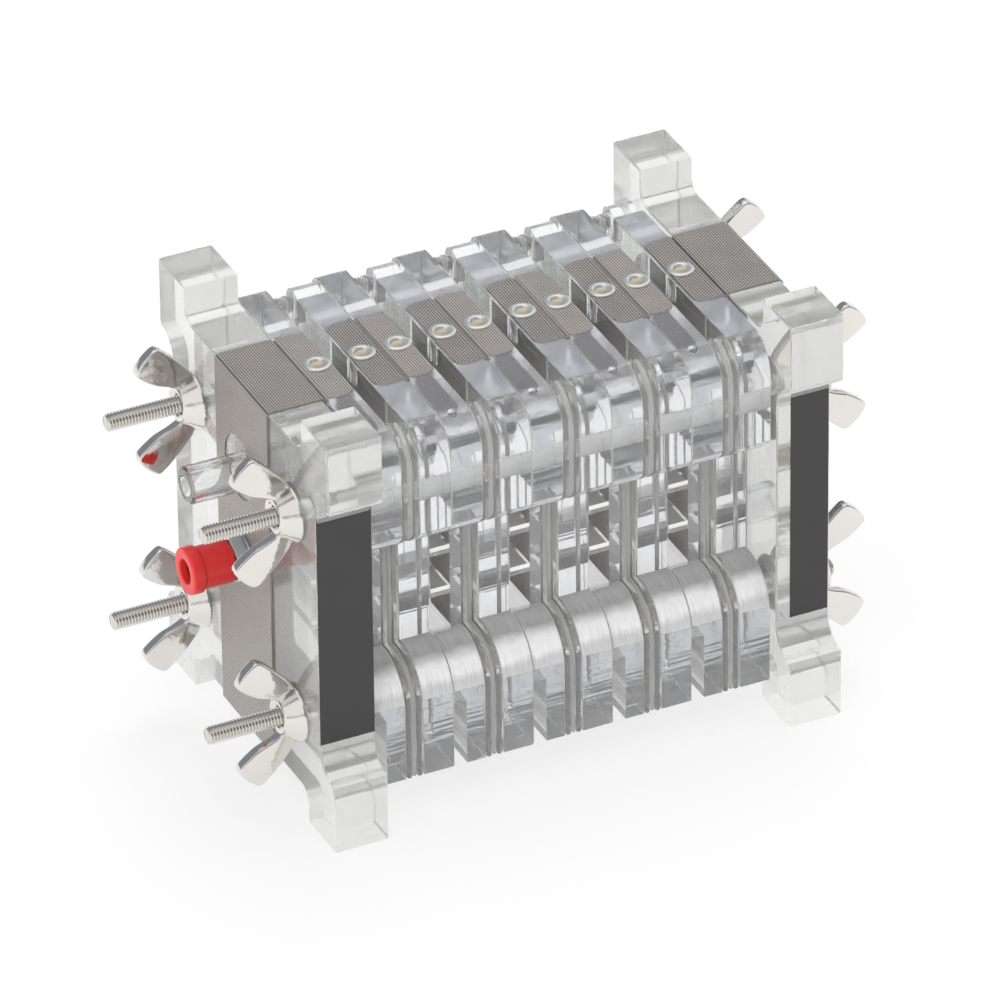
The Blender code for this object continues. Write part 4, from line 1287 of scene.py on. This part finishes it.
# %% Wing nuts
WING_T, WING_ROUND = 2.5 * MM, 0.55 * MM
WING_OUTLINE = [(0.5, 2.9), (0.5, 6.6), (3.7, 10.5), (7.9, 14.5), (9.2, 14.8), (11.5, 13.0),
                (13.0, 11.0), (13.3, 9.6), (11.5, 8.0), (9.1, 6.3), (6.3, 5.3), (4.0, 4.1), (3.8, 2.9)]
BOSS = [(0.0, 2.25), (0.0, 5.75), (0.06, 6.0), (0.25, 6.17), (0.5, 6.2), (0.72, 6.1), (0.9, 5.95),
        (3.75, 4.22), (3.98, 4.05), (4.2, 3.82), (4.3, 3.55), (4.3, 3.2), (4.22, 2.95), (3.9, 2.6),
        (3.6, 2.25)]
LEFT_TILTS, RIGHT_TILTS = (0.0, 1.5, 0.0, 0.0), (6.0, 0.0, 0.0, 0.0)


def softened(points, rounds):
    """Cuts the corners of a closed outline, again and again."""
    for _ in range(rounds):
        smooth = []
        for a, b in zip(points, points[1:] + points[:1]):
            smooth.append((a[0] * 0.8 + b[0] * 0.2, a[1] * 0.8 + b[1] * 0.2))
            smooth.append((a[0] * 0.2 + b[0] * 0.8, a[1] * 0.2 + b[1] * 0.8))
        points = smooth
    return points


def blade(side):
    bm = bmesh.new()
    outline = softened(WING_OUTLINE, 2)
    low, high = [[bm.verts.new((out * MM, y, side * r * MM)) for out, r in outline]
                 for y in (-WING_T / 2, WING_T / 2)]
    bm.faces.new(low)
    bm.faces.new(high)
    bridge(bm, low, high)
    obj = placed("blade", to_mesh("blade", bm))
    modifier = obj.modifiers.new("round", "BEVEL")
    modifier.width, modifier.segments, modifier.limit_method = WING_ROUND, 3, "ANGLE"
    modifier.angle_limit = math.radians(50)
    return plain_mesh(obj, "blade")


bm = bmesh.new()
for mesh in (spun("boss", [(x * MM, r * MM) for x, r in BOSS], 64), blade(1), blade(-1)):
    bm.from_mesh(mesh)
nut = to_mesh("wing_nut", bm)
for label, side, tilts in (("left", -1, LEFT_TILTS), ("right", 1, RIGHT_TILTS)):
    spots = [(side * (END_OUTER_X + GAP), y, z) for y, z in CORNERS]
    angles = [(math.radians(t), 0.0, math.pi if side < 0 else 0.0) for t in tilts]
    name = "wing_nuts_" + label
    mesh = copies(name, nut, spots, angles, NICKEL)
    add_piece(name, mesh, [NICKEL], ["wing_nut_" + label + "_" + i for i in "1234"], 35)
print("wing nuts:", 2 * len(CORNERS))

# %% [markdown]
# ## Labels
# Two plain strips of dark film are stuck to the front of the end plates.

# %% Labels
LABEL_TOP_Z, LABEL_FOOT_Z = 28.8 * MM, -25.5 * MM
LABEL_FRONT, LABEL_BACK = -BODY_Y - 0.08 * MM, -BODY_Y - 0.02 * MM
LABEL_LEFT_X, LABEL_RIGHT_X = END_OUTER_X - 8.9 * MM, END_OUTER_X - 0.3 * MM
outline = [(LABEL_FRONT, LABEL_FOOT_Z), (LABEL_BACK, LABEL_FOOT_Z), (LABEL_BACK, LABEL_TOP_Z),
           (LABEL_FRONT, LABEL_TOP_Z)]
for label, low_x, high_x in (("left", -END_OUTER_X, -END_INNER_X),
                             ("right", LABEL_LEFT_X, LABEL_RIGHT_X)):
    mesh = moved(plate("label", outline, high_x - low_x, 0.0), (low_x, 0, 0))
    add_piece("plain_label_" + label, mesh, [LABEL], [])
print("labels done")

# %% [markdown]
# The last cell prints the size of the dressed model's box.

# %% Sizes
low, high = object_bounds()
print("visual box in mm:", [round(x / MM, 2) for x in high - low])
